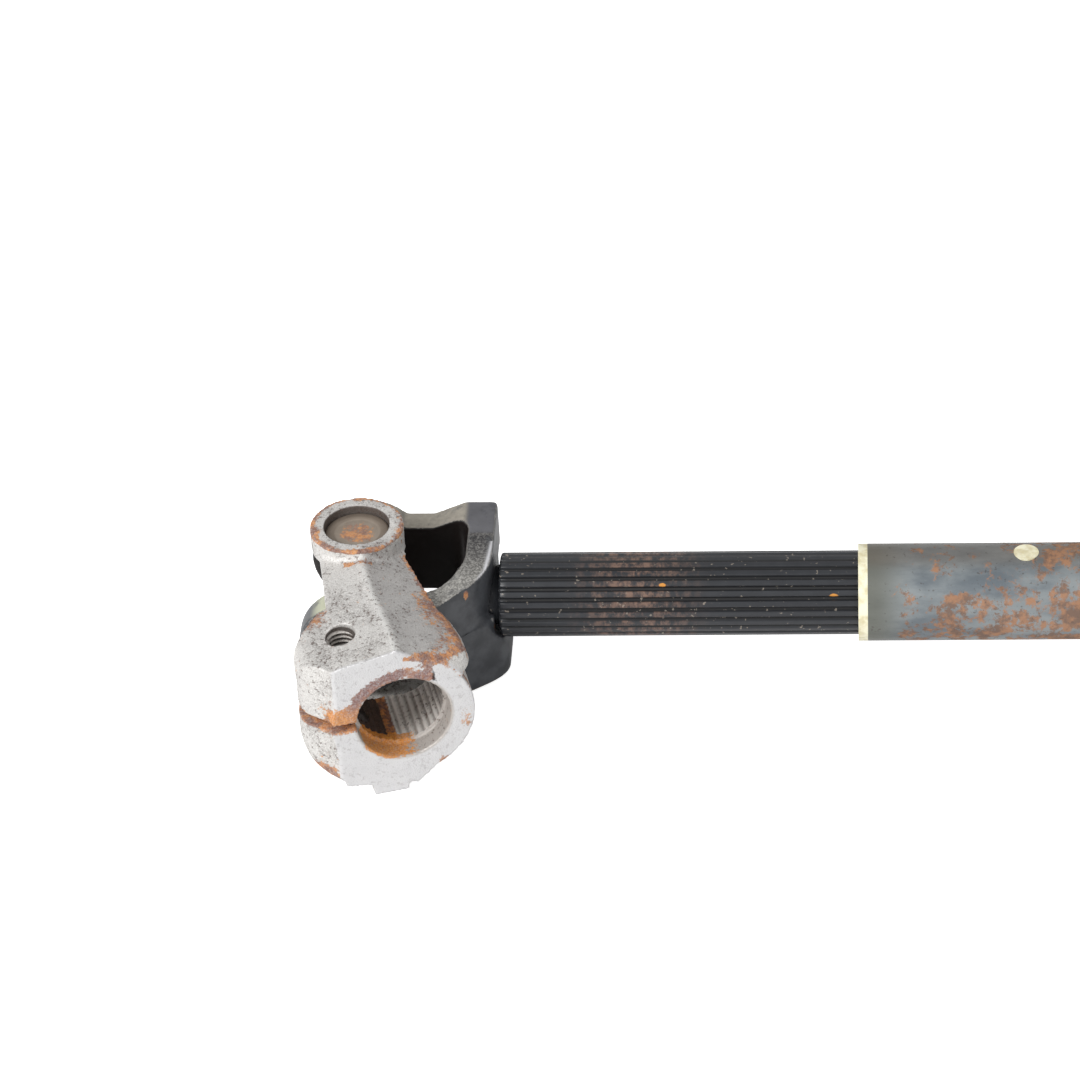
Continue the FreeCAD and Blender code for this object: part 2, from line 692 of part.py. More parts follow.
def joint_pieces(end, place, clamp_turn):
    """The cross of one joint with its cups, needles and seals."""
    put(cross(end + "_cross"), place, V(0, 0, 1), "0")
    seats = {
        "top": FreeCAD.Rotation(V(1, 0, 0), 0),
        "bottom": FreeCAD.Rotation(V(1, 0, 0), 180),
        "front": FreeCAD.Rotation(V(1, 0, 0), 90),
        "back": FreeCAD.Rotation(V(1, 0, 0), -90),
    }
    for side, turn in seats.items():
        for make, kind in ((bearing_cup, "cup"), (needle_set, "needles"), (seal_ring, "seal")):
            piece = make("%s_%s_%s" % (end, kind, side))
            piece.Placement = FreeCAD.Placement(V(number(place), 0, 0), turn)
            if hasattr(piece, "Group"):
                tie(piece, "Placement.Base.x", place)
    put(clamp_yoke(end + "_clamp_yoke"), place, V(0, 0, 1), clamp_turn)


joint_pieces("lower", LOWER, "fold_angle - 180")
joint_pieces("upper", UPPER, "0")
put(shaft_yoke("lower_shaft_yoke", "rib_radius + press_gap", False), LOWER, V(0, 0, 1), "0")
put(shaft_yoke("upper_shaft_yoke", TUBE_OUTER + " + press_gap", True), UPPER, V(0, 0, 1), "180")
put(ribbed_shaft("ribbed_shaft"), LOWER, V(1, 0, 0), "rib_turn")
put(slide_lining("slide_lining"), LOWER, V(1, 0, 0), "rib_turn")
put(outer_tube("outer_tube"), LOWER, V(1, 0, 0), "0")
doc.recompute()

for item in doc.Objects:
    if "Invalid" in item.State or "Error" in item.State:
        raise RuntimeError("%s did not build" % item.Label)
for piece in parts:
    if piece.Shape.isNull() or not piece.Shape.isValid():
        raise RuntimeError("%s has no sound shape" % piece.Label)

os.makedirs("parts", exist_ok=True)
for piece in parts:
    piece.Shape.exportStep(os.path.join("parts", piece.Label + ".step"))
    print("%s: %d solid(s), %.0f mm3" % (piece.Label, len(piece.Shape.Solids), piece.Shape.Volume))
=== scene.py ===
# %% [markdown]
# An intermediate steering shaft joins the steering column to the steering box. A ribbed bar
# slides in a tube, and each end has a universal joint with a split clamp.
# The construction comes packed as a frame of named parts and bodies. This script dresses it:
# it never moves a part, it only adds finer surfaces and finishes in the same place.

# %% Load the frame and keep its box
import bmesh
import bpy
import json
import math
import numpy as np
from mathutils import Matrix, Vector

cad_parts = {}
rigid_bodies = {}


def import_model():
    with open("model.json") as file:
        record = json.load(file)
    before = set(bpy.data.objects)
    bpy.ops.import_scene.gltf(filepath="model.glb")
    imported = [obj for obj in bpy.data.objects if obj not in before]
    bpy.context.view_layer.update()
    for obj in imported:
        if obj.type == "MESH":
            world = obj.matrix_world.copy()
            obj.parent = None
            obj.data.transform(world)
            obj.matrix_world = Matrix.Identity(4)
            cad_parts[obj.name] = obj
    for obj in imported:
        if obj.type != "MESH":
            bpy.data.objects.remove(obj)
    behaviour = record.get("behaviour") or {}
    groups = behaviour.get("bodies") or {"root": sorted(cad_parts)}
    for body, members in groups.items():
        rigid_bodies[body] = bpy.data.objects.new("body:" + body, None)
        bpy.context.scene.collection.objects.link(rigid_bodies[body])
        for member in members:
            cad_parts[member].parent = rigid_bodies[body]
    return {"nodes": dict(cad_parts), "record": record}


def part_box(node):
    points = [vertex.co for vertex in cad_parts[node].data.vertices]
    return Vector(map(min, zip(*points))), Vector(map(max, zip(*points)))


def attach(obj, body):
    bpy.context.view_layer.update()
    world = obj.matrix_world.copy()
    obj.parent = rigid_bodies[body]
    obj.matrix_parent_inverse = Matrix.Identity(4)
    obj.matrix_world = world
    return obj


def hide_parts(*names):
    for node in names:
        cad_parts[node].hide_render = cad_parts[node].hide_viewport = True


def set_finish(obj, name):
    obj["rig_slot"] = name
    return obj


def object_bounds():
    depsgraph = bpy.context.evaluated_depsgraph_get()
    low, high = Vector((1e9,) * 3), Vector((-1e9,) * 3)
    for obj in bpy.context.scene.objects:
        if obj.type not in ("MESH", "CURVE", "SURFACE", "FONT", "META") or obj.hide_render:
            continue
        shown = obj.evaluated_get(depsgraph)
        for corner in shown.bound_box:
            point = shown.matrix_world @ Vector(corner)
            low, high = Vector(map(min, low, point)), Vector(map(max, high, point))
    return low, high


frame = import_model()
cad_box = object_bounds()

# %% [markdown]
# Every place on the object is measured from the two joint centres, which the frame's hinges
# give. Each clamp has axes of its own: along its bore, across it, and up.

# %% Joint centres and the clamps' own axes
MM = 0.001
ENDS = ("lower", "upper")
joints = {joint["name"]: joint for joint in frame["record"]["behaviour"]["joints"]}
mounts = {mount["name"]: mount for mount in frame["record"]["mounts"]}
CENTRES = {end: np.array(joints[end + "_upright_hinge"]["pos_m"]) for end in ENDS}
ALONGS = {end: np.array(mounts[end + "_clamp_bore"]["axis"], float) for end in ENDS}
ACROSSES = {end: np.array([-along[1], along[0], 0.0]) for end, along in ALONGS.items()}
FLOOR = float(np.array(cad_box)[0][2])
print("joint centres", CENTRES, "floor", FLOOR)


def clamp_axes(vectors, end):
    """Vectors as (along the bore, across it, up)."""
    return np.stack([vectors @ ALONGS[end], vectors @ ACROSSES[end], vectors[:, 2]], axis=1)


def to_local(points, end):
    """Points in millimetres from a joint's centre, on the clamp's axes."""
    return clamp_axes((points - CENTRES[end]) / MM, end)


def from_local(points, end):
    """The way back from to_local, in metres in the shared frame."""
    spread = points[:, :1] * ALONGS[end] + points[:, 1:2] * ACROSSES[end]
    return CENTRES[end] + (spread + points[:, 2:] * np.array([0, 0, 1.0])) * MM


def from_joint(points, end):
    """Millimetres from a joint's centre, in the shared frame's own directions, to metres."""
    return CENTRES[end] + np.asarray(points, float) * MM

# %% [markdown]
# Four soft functions shape everything below. Noise on a lattice of fixed random numbers gives
# the lumps of a forging, ease fades one form into the next, and a band or a bump marks a line or
# a place.

# %% Soft functions
LATTICE = 48


def noise(points, size, seed):
    """Smooth value noise from -1 to 1: random values on a cubic lattice with cells of `size`,
    mixed with 3t^2 - 2t^3 along each axis."""
    table = np.random.default_rng(seed).uniform(-1, 1, (LATTICE, LATTICE, LATTICE))
    place = points / size
    cell = np.floor(place).astype(int)
    part = place - cell
    part = part * part * (3 - 2 * part)
    total = np.zeros(len(points))
    for corner in range(8):
        step = np.array([corner & 1, corner >> 1 & 1, corner >> 2 & 1])
        weight = np.prod(np.where(step, part, 1 - part), axis=1)
        index = (cell + step) % LATTICE
        total += weight * table[index[:, 0], index[:, 1], index[:, 2]]
    return total


def ease(values, low, high):
    """0 below low, 1 above high, t^2 (3 - 2t) between them."""
    t = np.clip((values - low) / (high - low), 0, 1)
    return t * t * (3 - 2 * t)


def band(distance, width):
    """exp(-(distance / width)^2): 1 on a line, fading on both sides of it."""
    return np.exp(-(distance / width) ** 2)


def bump(points, place, radius):
    """A soft spot exp(-(distance / radius)^2), with a radius for each axis."""
    return np.exp(-(((points - np.array(place)) / np.array(radius)) ** 2).sum(axis=1))


print("noise at three places", noise(np.eye(3) * 2.5, 5.5, 11).round(3))

# %% [markdown]
# A mesh is easiest to shape as arrays. Pulling points towards their neighbours rounds corners
# as a die does, and a point that this moves inwards lies on an edge, where bare metal shows.
# Such numbers stay on the mesh as attributes, because a material can read them there.

# %% Reading, rounding and marking a mesh
def read(items, what, width, kind=float):
    """One row of numbers for each item of a mesh."""
    values = np.empty(len(items) * width, kind)
    items.foreach_get(what, values)
    return values.reshape(-1, width)


def mesh_arrays(mesh):
    """A mesh's points, edges and point normals."""
    return (read(mesh.vertices, "co", 3), read(mesh.edges, "vertices", 2, int),
            read(mesh.vertex_normals, "vector", 3))


def neighbour_mean(values, edges):
    """Mean over each point's neighbours along the edges, for one column or several."""
    columns = values.reshape(len(values), -1)
    count = np.bincount(edges.ravel(), minlength=len(values))
    mean = np.empty_like(columns)
    for axis in range(columns.shape[1]):
        there = np.bincount(edges[:, 0], columns[edges[:, 1], axis], len(values))
        back = np.bincount(edges[:, 1], columns[edges[:, 0], axis], len(values))
        mean[:, axis] = (there + back) / count
    return mean.reshape(values.shape)


def relax(points, edges, rounds, share):
    """Moves each point `share` of the way to its neighbours' mean, `rounds` times over."""
    for _ in range(rounds):
        points = points + share[:, None] * (neighbour_mean(points, edges) - points)
    return points


def worn_edge(start, now, normals, edges, depth):
    """How far rounding took each point inwards: 1 for `depth` millimetres or more."""
    edge = np.clip(((start - now) * normals).sum(axis=1) / depth, 0, 1)
    return neighbour_mean(edge, edges)


def free_skin(held, edges):
    """0 on held points, rising to 1 over the three rows of points next to them."""
    skin = np.where(held, 0.0, 1.0)
    for _ in range(3):
        skin = np.minimum(skin, neighbour_mean(skin, edges))
    return skin


def put_points(mesh, points):
    """Writes moved points back into a mesh."""
    mesh.vertices.foreach_set("co", np.asarray(points, float).ravel())
    mesh.update()


def put_masks(mesh, **masks):
    """Stores one number a point under each name, for the materials to read."""
    for name, values in masks.items():
        layer = mesh.attributes.new(name, "FLOAT", "POINT")
        layer.data.foreach_set("value", np.asarray(values, np.float32))


print("mean of the other end's value:", neighbour_mean(np.array([0.0, 1.0]), np.array([[0, 1]])))

# %% [markdown]
# The CAD nodes are loose, uneven triangles, too coarse to sculpt, so a merged copy goes through
# a voxel remesh. New surfaces are grids. Either kind rides on a body of the frame and stands
# for the nodes that it covers.

# %% Making and adding pieces
def link(name, data):
    """A new object in the scene, at the origin."""
    thing = bpy.data.objects.new(name, data)
    bpy.context.collection.objects.link(thing)
    return thing


def remeshed(node, cell):
    """A CAD node's surface in even cells: a merged copy of its mesh, through a voxel remesh."""
    source = frame["nodes"][node].data.copy()
    merged = bmesh.new()
    merged.from_mesh(source)
    bmesh.ops.remove_doubles(merged, verts=merged.verts, dist=1e-6)
    merged.to_mesh(source)
    merged.free()
    holder = link(node + "_source", source)
    voxels = holder.modifiers.new("even cells", "REMESH")
    voxels.mode = "VOXEL"
    voxels.voxel_size = cell * MM
    voxels.adaptivity = 0.0
    view = bpy.context.evaluated_depsgraph_get()
    mesh = bpy.data.meshes.new_from_object(holder.evaluated_get(view))
    bpy.data.objects.remove(holder)
    mesh.name = node + "_skin"
    mesh.materials.clear()
    return mesh


def tube_faces(rows, columns):
    """Faces of a grid that is closed round and capped: quads between the rows, where column j
    joins j + 1 and the last joins the first, and one face on each end row."""
    row, column = np.meshgrid(np.arange(rows - 1), np.arange(columns), indexing="ij")
    after = (column + 1) % columns
    quads = np.stack([row * columns + column, row * columns + after,
                      (row + 1) * columns + after, (row + 1) * columns + column], axis=-1)
    caps = [list(range(columns))[::-1], list(range((rows - 1) * columns, rows * columns))]
    return quads.reshape(-1, 4).tolist() + caps


def new_mesh(name, points, faces):
    """A mesh from arrays, its faces turned outwards."""
    mesh = bpy.data.meshes.new(name)
    mesh.from_pydata(points.tolist(), [], faces)
    shell = bmesh.new()
    shell.from_mesh(mesh)
    bmesh.ops.recalc_face_normals(shell, faces=shell.faces)
    shell.to_mesh(mesh)
    shell.free()
    return mesh


def add_piece(name, mesh, body, slot, nodes=()):
    """Puts a finished mesh into the scene, rides it on a body and lets it stand for CAD nodes."""
    mesh.shade_smooth()
    piece = link(name, mesh)
    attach(piece, body)
    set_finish(piece, slot)
    if nodes:
        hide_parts(*nodes)
    print(name, len(mesh.polygons), "faces")


def box_mm(node, end):
    """The low and high corner of a CAD node's box, in millimetres from a joint's centre."""
    return (np.array(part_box(node)) - CENTRES[end]) / MM


print("outer tube's box in mm", box_mm("outer_tube", "lower").round(2).tolist())

# %% [markdown]
# The clamp yoke is a forging: two arms run from the ear rings to a hub, with a pinch block at
# its side. The CAD body has this form in flat faces and clean corners, so it is sculpted
# further. Bores, holes and the machined face stay as they are, and this cell finds them.

# %% Clamp yokes: machined places
CLAMP_END = 50.6
BORE_RADIUS = 10.4
EAR_HOLE_RADIUS = 8.7  # the ear's hole with the start of its rim
BOLT_PLACE = (37.4, -11.1)  # along and across, where the pinch bolt's hole goes down
BOLT_HOLE_RADIUS = 4.7


def clamp_zones(local, normals):
    """Which points are machined surface: ear holes, bolt holes, bore, end face."""
    along, across, up = local.T
    ear_hole = (np.hypot(along, across) < EAR_HOLE_RADIUS) & (np.abs(up) < 21.4)
    from_bolt = np.hypot(along - BOLT_PLACE[0], across - BOLT_PLACE[1])
    bolt_hole = (from_bolt < BOLT_HOLE_RADIUS) & (np.abs(up) < 17.0)
    bore = (np.hypot(across, up) < 12.2) & (along > 24.0)
    face = (along > CLAMP_END - 0.45) & (normals[:, 0] > 0.6)
    return ear_hole, bolt_hole, bore, face


print("clamp bore", BORE_RADIUS, "mm, bolt hole at", BOLT_PLACE)

# %% [markdown]
# Seen from above, the arm is uneven: its crest leans towards the block, and its right flank
# swells between ring and hub. Curves along the bore say where crest, flank and the hub's corner
# lie, and points move out to them in proportion, which keeps the sloping faces whole.

# %% Clamp yokes: crest and right flank
ARM_GAP = 15.2  # half the gap between the arms
ARM_AT = (0, 38.6, CLAMP_END)
ARM_LINES = (  # the CAD arm's section at ARM_AT
    (-3.2, 1.0, 2.4),  # where its crest is, across
    (19.7, 20.0, 20.1),  # the crest's height
    (15.6, 11.2, 9.4),  # the height of its sides
    (10.7, 16.2, 14.4),  # its right side, across
    (-10.0, -14.1, -15.4))  # its left side
CREST = ((0, 9, 25, 39.5, CLAMP_END), (-1.4, -1.5, -1.7, -0.8, -0.6))
FLANK = ((0, 8, 20, 31, 40.7, 46, 48.2, CLAMP_END),
         (10.7, 10.4, 11.9, 13.7, 15.4, 16.0, 13.2, 7.0))
CORNER = ((27, 33, 38.6, 45, 47.5, CLAMP_END), (14.6, 16.2, 17.4, 17.8, 17.2, 15.0))
RIDGE_HEIGHT = 0.5


def widen_flank(local):
    """The arms' right flank, fuller between ring and hub. The CAD roof falls from its crest to
    (right, side), and the arm gap cuts it off. Each point right of the crest moves out to
    e' = crest' + (e - crest) (reach - crest') / (roof's e at that height - crest), and the
    crest itself turns a little towards the block and is raised to a ridge."""
    along, across, up = local.T
    height = np.abs(up)
    crest, top, side, right, left = (np.interp(along, ARM_AT, line) for line in ARM_LINES)
    new_crest = np.interp(along, *CREST)

    def roof(at):
        """Where the roof's right slope is at a height."""
        return crest + (right - crest) * (top - at) / (top - side)

    edge = np.interp(along, *FLANK)
    edge = np.where(along < 8, np.maximum(edge, roof(np.maximum(ARM_GAP, side))), edge)
    corner = np.maximum(right, np.interp(along, *CORNER))
    climb = np.clip((height - side) / np.maximum(ARM_GAP - side, 0.05), 0, 1)
    reach = corner * (1 - climb) + edge * climb
    here = roof(np.clip(height, side, ARM_GAP))
    stretched = new_crest + (across - crest) * (reach - new_crest) / (here - crest)
    on_right = np.where(height >= side, stretched, across)
    on_left = left + (across - left) * (new_crest - left) / (crest - left)
    moved = np.where(across > crest, on_right, np.where(across > left, on_left, across))
    # the change fades at the ring, in the arm gap and, on the lower arm, beside the hub
    from_ring = ease(along, 2, 13)
    share = from_ring * ease(height, 11.0, 15.0)
    outer = np.maximum(share, from_ring * (height > side))
    share = np.where(across > crest + 6, outer, share)
    share = share * np.where(up < 0, 1 - ease(along, 16, 26), 1.0)
    widened = local.copy()
    widened[:, 1] = across + (moved - across) * share
    ridge = RIDGE_HEIGHT * np.exp(-np.abs(widened[:, 1] - new_crest) / 2.0)
    ridge = ridge * ease(along, 8, 14) * ease(height, 16, 17.5)
    ridge = ridge * np.where(up < 0, 1 - ease(along, 30, 42), 1.0)
    widened[:, 2] += np.sign(up) * ridge
    return widened


print("the flank is widest at", max(FLANK[1]), "mm from the bore's axis")

# %% [markdown]
# A die leaves round corners, with the larger fillets inside, where metal has to flow, and a skin
# of shallow lumps and scale pits. The bore is then broached with fine serrations, which grip the
# splined shaft.

# %% Clamp yokes: fillets, skin and serrations
SERRATIONS = 36
SERRATION_DEPTH = 0.45
RECESS = 5.6  # how far in from the end face the serrations start


def round_forging(local, normals, edges, held):
    """Corners pulled round, hollow ones more. Also gives 0 to 1, low where room is tight."""
    share = np.where(held, 0.0, 0.5)
    local = relax(local, edges, 4, share)
    bend = ((neighbour_mean(local, edges) - local) * normals).sum(axis=1)
    hollow = ease(neighbour_mean(bend, edges), 0.004, 0.03)
    for _ in range(6):
        hollow = np.maximum(hollow, 0.9 * neighbour_mean(hollow, edges))
    # the lower arm's root at the block keeps its small fillet: the yoke passes close by
    room = 1 - np.clip(bump(local, (22.5, -12, -16.5), (5, 5, 3.5)) * 1.6, 0, 1)
    local = relax(local, edges, 18, np.where(held, 0.0, 0.55) * hollow * room)
    return relax(local, edges, 2, share * 0.6), room


def scale_skin(local, normals, seed):
    """How deep the die's lumps and the pits of scale go at each point, in millimetres."""
    lumps = 0.12 * noise(local, 5.5, seed) + 0.06 * noise(local, 1.7, seed + 1)
    lumps += 0.16 * ease(np.abs(normals[:, 2]), 0.6, 0.9)
    return lumps + 0.16 * ease(noise(local, 1.15, seed + 2), 0.35, 0.8)


def serrate(local, normals):
    """Moves the bore's wall to r = radius + depth * tri(36 angle). Also gives the old r, how
    far up its tooth each point is, and which points are on the wall."""
    ring = np.hypot(local[:, 1], local[:, 2])
    angle = np.arctan2(local[:, 2], local[:, 1])
    tooth = np.abs(((angle * SERRATIONS / (2 * math.pi)) % 1.0) - 0.5) * 2
    wall = (np.abs(ring - BORE_RADIUS - 0.2) < 0.5) & (np.abs(normals[:, 0]) < 0.5)
    wall &= (local[:, 0] > 27.0) & (local[:, 0] < CLAMP_END - RECESS)
    factor = np.where(wall, (BORE_RADIUS + SERRATION_DEPTH * tooth) / ring, 1.0)
    return local * np.stack([np.ones(len(local)), factor, factor], axis=1), ring, tooth, wall


print(SERRATIONS, "serrations,", SERRATION_DEPTH, "mm deep")

# %% [markdown]
# Rust settles where water stays: on the rings' rims, along the flank, in the slit, round the
# bore and on the jaw's corner. Each place is a band or a bump, and slow noise breaks them up.
# The other masks mark machined metal, painted light on the bore's wall, a painted highlight along
# the crest and painted shade on its far side.

# %% Clamp yokes: rust and masks
RUST_SPOTS = {  # place, radius and strength
    "ring's left rim": ((-4, -12, 21), (9, 3, 3), 0.45),
    "slit's end": ((49.5, -14.0, 3.2), (3.5, 3.6, 2.6), 1.5),
    "jaw's corner": ((46, -20, -15), (6, 4.0, 3.0), 0.95),
    "face's right rim": ((50.5, 14.8, -3), (2, 2.2, 5), 0.6),
    "face's bottom": ((50.5, 9.0, -14.5), (2.5, 3.0, 1.6), 0.6),
    "block's back edge": ((28, -20, 16), (5, 8, 3), 0.8),
    "block's outer edge": ((40, -24.4, 14), (10, 1.2, 5), 0.3),
}


def clamp_rust(local, end, seed):
    """Where rust has settled, 0 to 1."""
    along, across, up = local.T
    from_axis = np.hypot(along, across)
    ring = np.hypot(across, up)
    off_flank = across - np.interp(along, *FLANK)
    total = sum(bump(local, *spot) * strength for *spot, strength in RUST_SPOTS.values())
    # the ring's rim, and the foot of the ring
    total += band(from_axis - 11.6, 1.5) * (up > 20.9) * np.where(across < 3, 0.85, 0.55)
    total += band(from_axis - 13.0, 0.9) * (up > 18.8) * ease(along, 4, 11) * 0.55
    # the flank's edge, the slope beside it, and the hub's shoulder
    total += band(off_flank, 1.3) * (up > 10) * ease(along, 2, 12) * 0.72
    total += band(off_flank + 3.0, 3.0) * (up > 14) * ease(along, 10, 34) * 0.36
    total += band(ring - 17.4, 0.7) * (across > 1) * (up > 5) * ease(along, 46.5, 48.5) * 0.6
    # over the bore's mouth, in the slit, on the bore's floor, and a strip inside it
    arc = ease(up, 1, 6) * ease(-across, -9, -3)
    total += band(ring - 13.0, 1.7) * (along > 47) * arc * 1.1
    total += band(up, 1.7) * (across < -10.5) * 1.1
    arc = ease(-up, 3, 7) * ease(-across, -6.0, 5.0)
    total += band(ring - 11.0, 1.2) * (along > 43) * arc * 1.2
    strip = ease(across, -3.4, -2.8) * ease(-across, 0.9, 1.3)
    total += strip * (ring < 11.4) * (up < 0) * (along > 26)
    patchy = 0.5 + 0.5 * noise(local, 3.1, seed + 5)
    share = 1.0 if end == "lower" else 0.75
    return np.clip(total * (0.62 + 0.6 * patchy) * share, 0, 1)


def clamp_finishes(local, ring, tooth, wall, end):
    """The masks that follow from a point's place alone."""
    along, across, up = local.T
    vivid = bump(local, (49.5, -14.0, 3.2), (4.0, 4.5, 3.0))
    vivid += (ring < 12.5) * ease(-up, 1, 6) * (along > 42)
    # painted light on the bore's wall where light reaches it, with painted shade in the grooves
    # between the serrations; the recess by the mouth gets a fixed share of it
    lit = ease(across, -1.4, -0.8) * ease(-up, 2.0, 5.0)
    lit = np.maximum(lit, 0.55 * ease(across, 5.0, 8.0) * ease(-up, -6.0, -2.0))
    lit = lit * np.where(wall, 0.45 + 0.55 * ease(1 - tooth, 0.15, 0.6), 1.0)
    off_crest = across - np.interp(along, *CREST)
    on_top = (np.abs(up) > 14.5) * ease(along, 5, 12)
    return {
        "machined": ease(along, CLAMP_END - 0.9, CLAMP_END - 0.3) * (ring > 11.2),
        "bore": ease(-ring, -12.4, -11.7) * (along > 26.0),
        "vivid": np.clip(vivid, 0, 1) * (end == "lower"),
        "purple": band(ring - 13.0, 1.8) * (along > 47) * ease(up, 1, 6),
        "worn_bore": np.where(along < CLAMP_END - RECESS - 0.1, lit, 0.55),
        # a painted highlight along the crest, and painted shade on the crest's far side
        "ridge": band(off_crest, 0.8) * on_top,
        "shade": ease(off_crest, 0.3, 1.6) * on_top * (along < CLAMP_END - 0.2),
    }


print("rust spots on a clamp", list(RUST_SPOTS))

# %% [markdown]
# Both clamp yokes take these steps. The lower one is near the camera, so its cells are finer.

# %% Clamp yokes: both ends
def sculpt_clamp(end, cell, seed):
    """Rounds, roughens and marks one clamp yoke."""
    node = end + "_clamp_yoke"
    mesh = remeshed(node, cell)
    points, edges, normals = mesh_arrays(mesh)
    local, normals = to_local(points, end), clamp_axes(normals, end)
    ear_hole, bolt_hole, bore, face = clamp_zones(local, normals)
    held = ear_hole | bolt_hole | bore | face
    start = widen_flank(local)
    local, room = round_forging(start, normals, edges, held)
    edge = worn_edge(start, local, normals, edges, 0.22)
    depth = scale_skin(local, normals, seed) * free_skin(held, edges) * (0.3 + 0.7 * room)
    local = local - normals * depth[:, None]
    local, ring, tooth, wall = serrate(local, normals)
    put_points(mesh, from_local(local, end))
    # hole marks the ear and bolt holes, which the forging's material darkens as painted shade
    put_masks(mesh, edge=edge, hole=ear_hole | bolt_hole, rust=clamp_rust(local, end, seed),
              **clamp_finishes(local, ring, tooth, wall, end))
    add_piece(end + "_clamp_skin", mesh, end + "_clamp", "forged_steel", [node])


sculpt_clamp("lower", 0.40, 11)
sculpt_clamp("upper", 0.46, 31)

# %% [markdown]
# The shaft yoke is pressed from thick plate: a base welded to the shaft and two ears bent
# forwards. Its sheared edge is bare and pale while the faces are painted, and where the plate was
# bent its outer side is stretched rough. The same tools round it, less than a forging.

# %% Shaft yokes: the plate's form and masks
def shape_plate(local, hole):
    """The plate's finer form. The foot stands out less towards its sides,
    x' = x - max(x - outer(y), 0) s(|y|), where outer is an arc, and the front ear's top is
    raised from its straight line to a curve."""
    x, y, z = local.T
    shaped = local.copy()
    outer = 10.9 + np.sqrt(np.maximum(21.9 ** 2 - y ** 2, 0))
    on_foot = (z < -0.2) & (x > 24.5) & (np.abs(y) < 17.3) & (np.hypot(y, z) > 9.0)
    shaped[:, 0] -= np.maximum(x - outer, 0) * ease(np.abs(y), 5.0, 16.6) * on_foot
    old_top = np.interp(x, (17, 25), (9.6, 13.0))
    new_top = np.interp(x, (7, 12, 17, 20.6, 25), (9.6, 10.9, 11.3, 11.4, 13.0))
    front_ear = (z > 0) & (y < -10) & ~hole & (x > 7)
    shaped[:, 2] *= np.where(front_ear, new_top / old_top, 1.0)
    return shaped


def plate_finishes(local, normals, end):
    """Masks of a yoke: sheared edges, rough bends, inside (painted shade), tips, scratch and rust.
    """
    x, y, z = local.T
    level = ease(np.abs(normals[:, 2]), 0.62, 0.85)
    flat = level * (z > 8)
    # inside: the U's inner faces, which the paint darkens as painted shade
    inside = ease(-(normals[:, 1] * np.sign(y)), 0.3, 0.7) * (x < 27)
    inside = np.maximum(inside, ease(-normals[:, 0], 0.5, 0.8) * (np.abs(y) < 15))
    scratch = band(x - np.interp(y, (-12, -7.3, 4.3), (29.2, 31.2, 32.3)), 0.45)
    scratch = scratch * ease(y, -13, -9) * (y < 5)
    rust = bump(local, (27.6, -15.0, 11.0), (1.2, 1.0, 1.8)) * 1.56
    rust += bump(local, (34.4, -7.5, -4.0), (2.2, 0.7, 3.0)) * 1.2
    rust += bump(local, (-8, -19, 4), (6, 5, 8)) * 0.6
    return {
        "cut": level * (np.abs(z) > 6) * (x < 33.2),
        "rough": flat * ease(-y, -9.0, -7.5) * ease(x, 4, 12),
        "inside": inside,
        "plate_end": flat * ease(y, 7.5, 8.2) * ease(x, 24.5, 26.0),
        "forward": ease(-y, -7.0, 15.0),
        "tip": ease(-x, -1, 3) * ease(-y, 12, 15) * (np.hypot(x, z) > 10),
        "scratch": np.clip(scratch, 0, 1) * flat,
        "rust": np.clip(rust, 0, 1) * (end == "lower"),
    }


print("shaft yokes at x =", [round(float(centre[0]), 4) for centre in CENTRES.values()])

# %% [markdown]
# The upper yoke looks the other way, so its points are turned half round before and after. The
# pressed foot flows into the plate, which takes many rounds low on the outer side.

# %% Shaft yokes: both ends
def sculpt_shaft_yoke(end, body, cell, seed):
    """Rounds and marks one shaft yoke."""
    node = end + "_shaft_yoke"
    mesh = remeshed(node, cell)
    points, edges, normals = mesh_arrays(mesh)
    facing = np.array([1.0, 1.0, 1.0]) if end == "lower" else np.array([-1.0, -1.0, 1.0])
    local, normals = (points - CENTRES[end]) / MM * facing, normals * facing
    x, y, z = local.T
    hole = np.hypot(x, z) < EAR_HOLE_RADIUS
    held = hole | ((np.hypot(y, z) < 8.2) & (x > 24))
    start = shape_plate(local, hole)
    x, y, z = start.T
    local = relax(start, edges, 4, np.where(held, 0.0, 0.5))
    edge = worn_edge(start, local, normals, edges, 0.2)
    foot = ease(-z, -3.0, 2.0) * ease(x, 26, 30) * (np.hypot(y, z) > 8.6)
    local = relax(local, edges, 60, 0.6 * foot * ease(z, -16.0, -12.5))
    masks = plate_finishes(local, normals, end)
    lumps = 0.05 * (1 + noise(local, 6.0, seed))
    lumps += masks["rough"] * 0.14 * (1 + noise(local, 1.1, seed + 1))
    local = local - normals * (lumps * free_skin(held, edges))[:, None]
    put_points(mesh, from_joint(local * facing, end))
    put_masks(mesh, edge=edge, **masks)
    add_piece(end + "_shaft_yoke_skin", mesh, body, "black_paint", [node])


sculpt_shaft_yoke("lower", "inner_shaft", 0.42, 51)
sculpt_shaft_yoke("upper", "tube", 0.46, 61)

# %% [markdown]
# The eight bearing cups are drawn from sheet steel: a shallow dish in the closed end and a
# rounded rim. A cup is its wall's cross-section turned about the ear's axis.

# %% Bearing cups
CUP_SIDES = 96
CUP_RADIUS = 7.98
CUP_WALL = 1.0
CUP_FLOOR = 1.5
CUP_ROUND = 0.7
CUP_MIDDLE = 0.06  # a cup closes with a small disc in place of a point
DISH_DEPTH = 0.34


def turned_solid(section, axis):
    """A closed section (radius, height) turned about an axis:
    point = height * axis + radius * (cos a * side + sin a * axis x side)."""
    side = np.array([0.0, 0.0, 1.0]) if abs(axis[2]) < 0.5 else np.array([1.0, 0.0, 0.0])
    angles = np.linspace(0, 2 * math.pi, CUP_SIDES, endpoint=False)
    circle = np.outer(np.cos(angles), side) + np.outer(np.sin(angles), np.cross(axis, side))
    radii, heights = section.T[:, :, None, None]
    return (heights * axis + radii * circle).reshape(-1, 3)


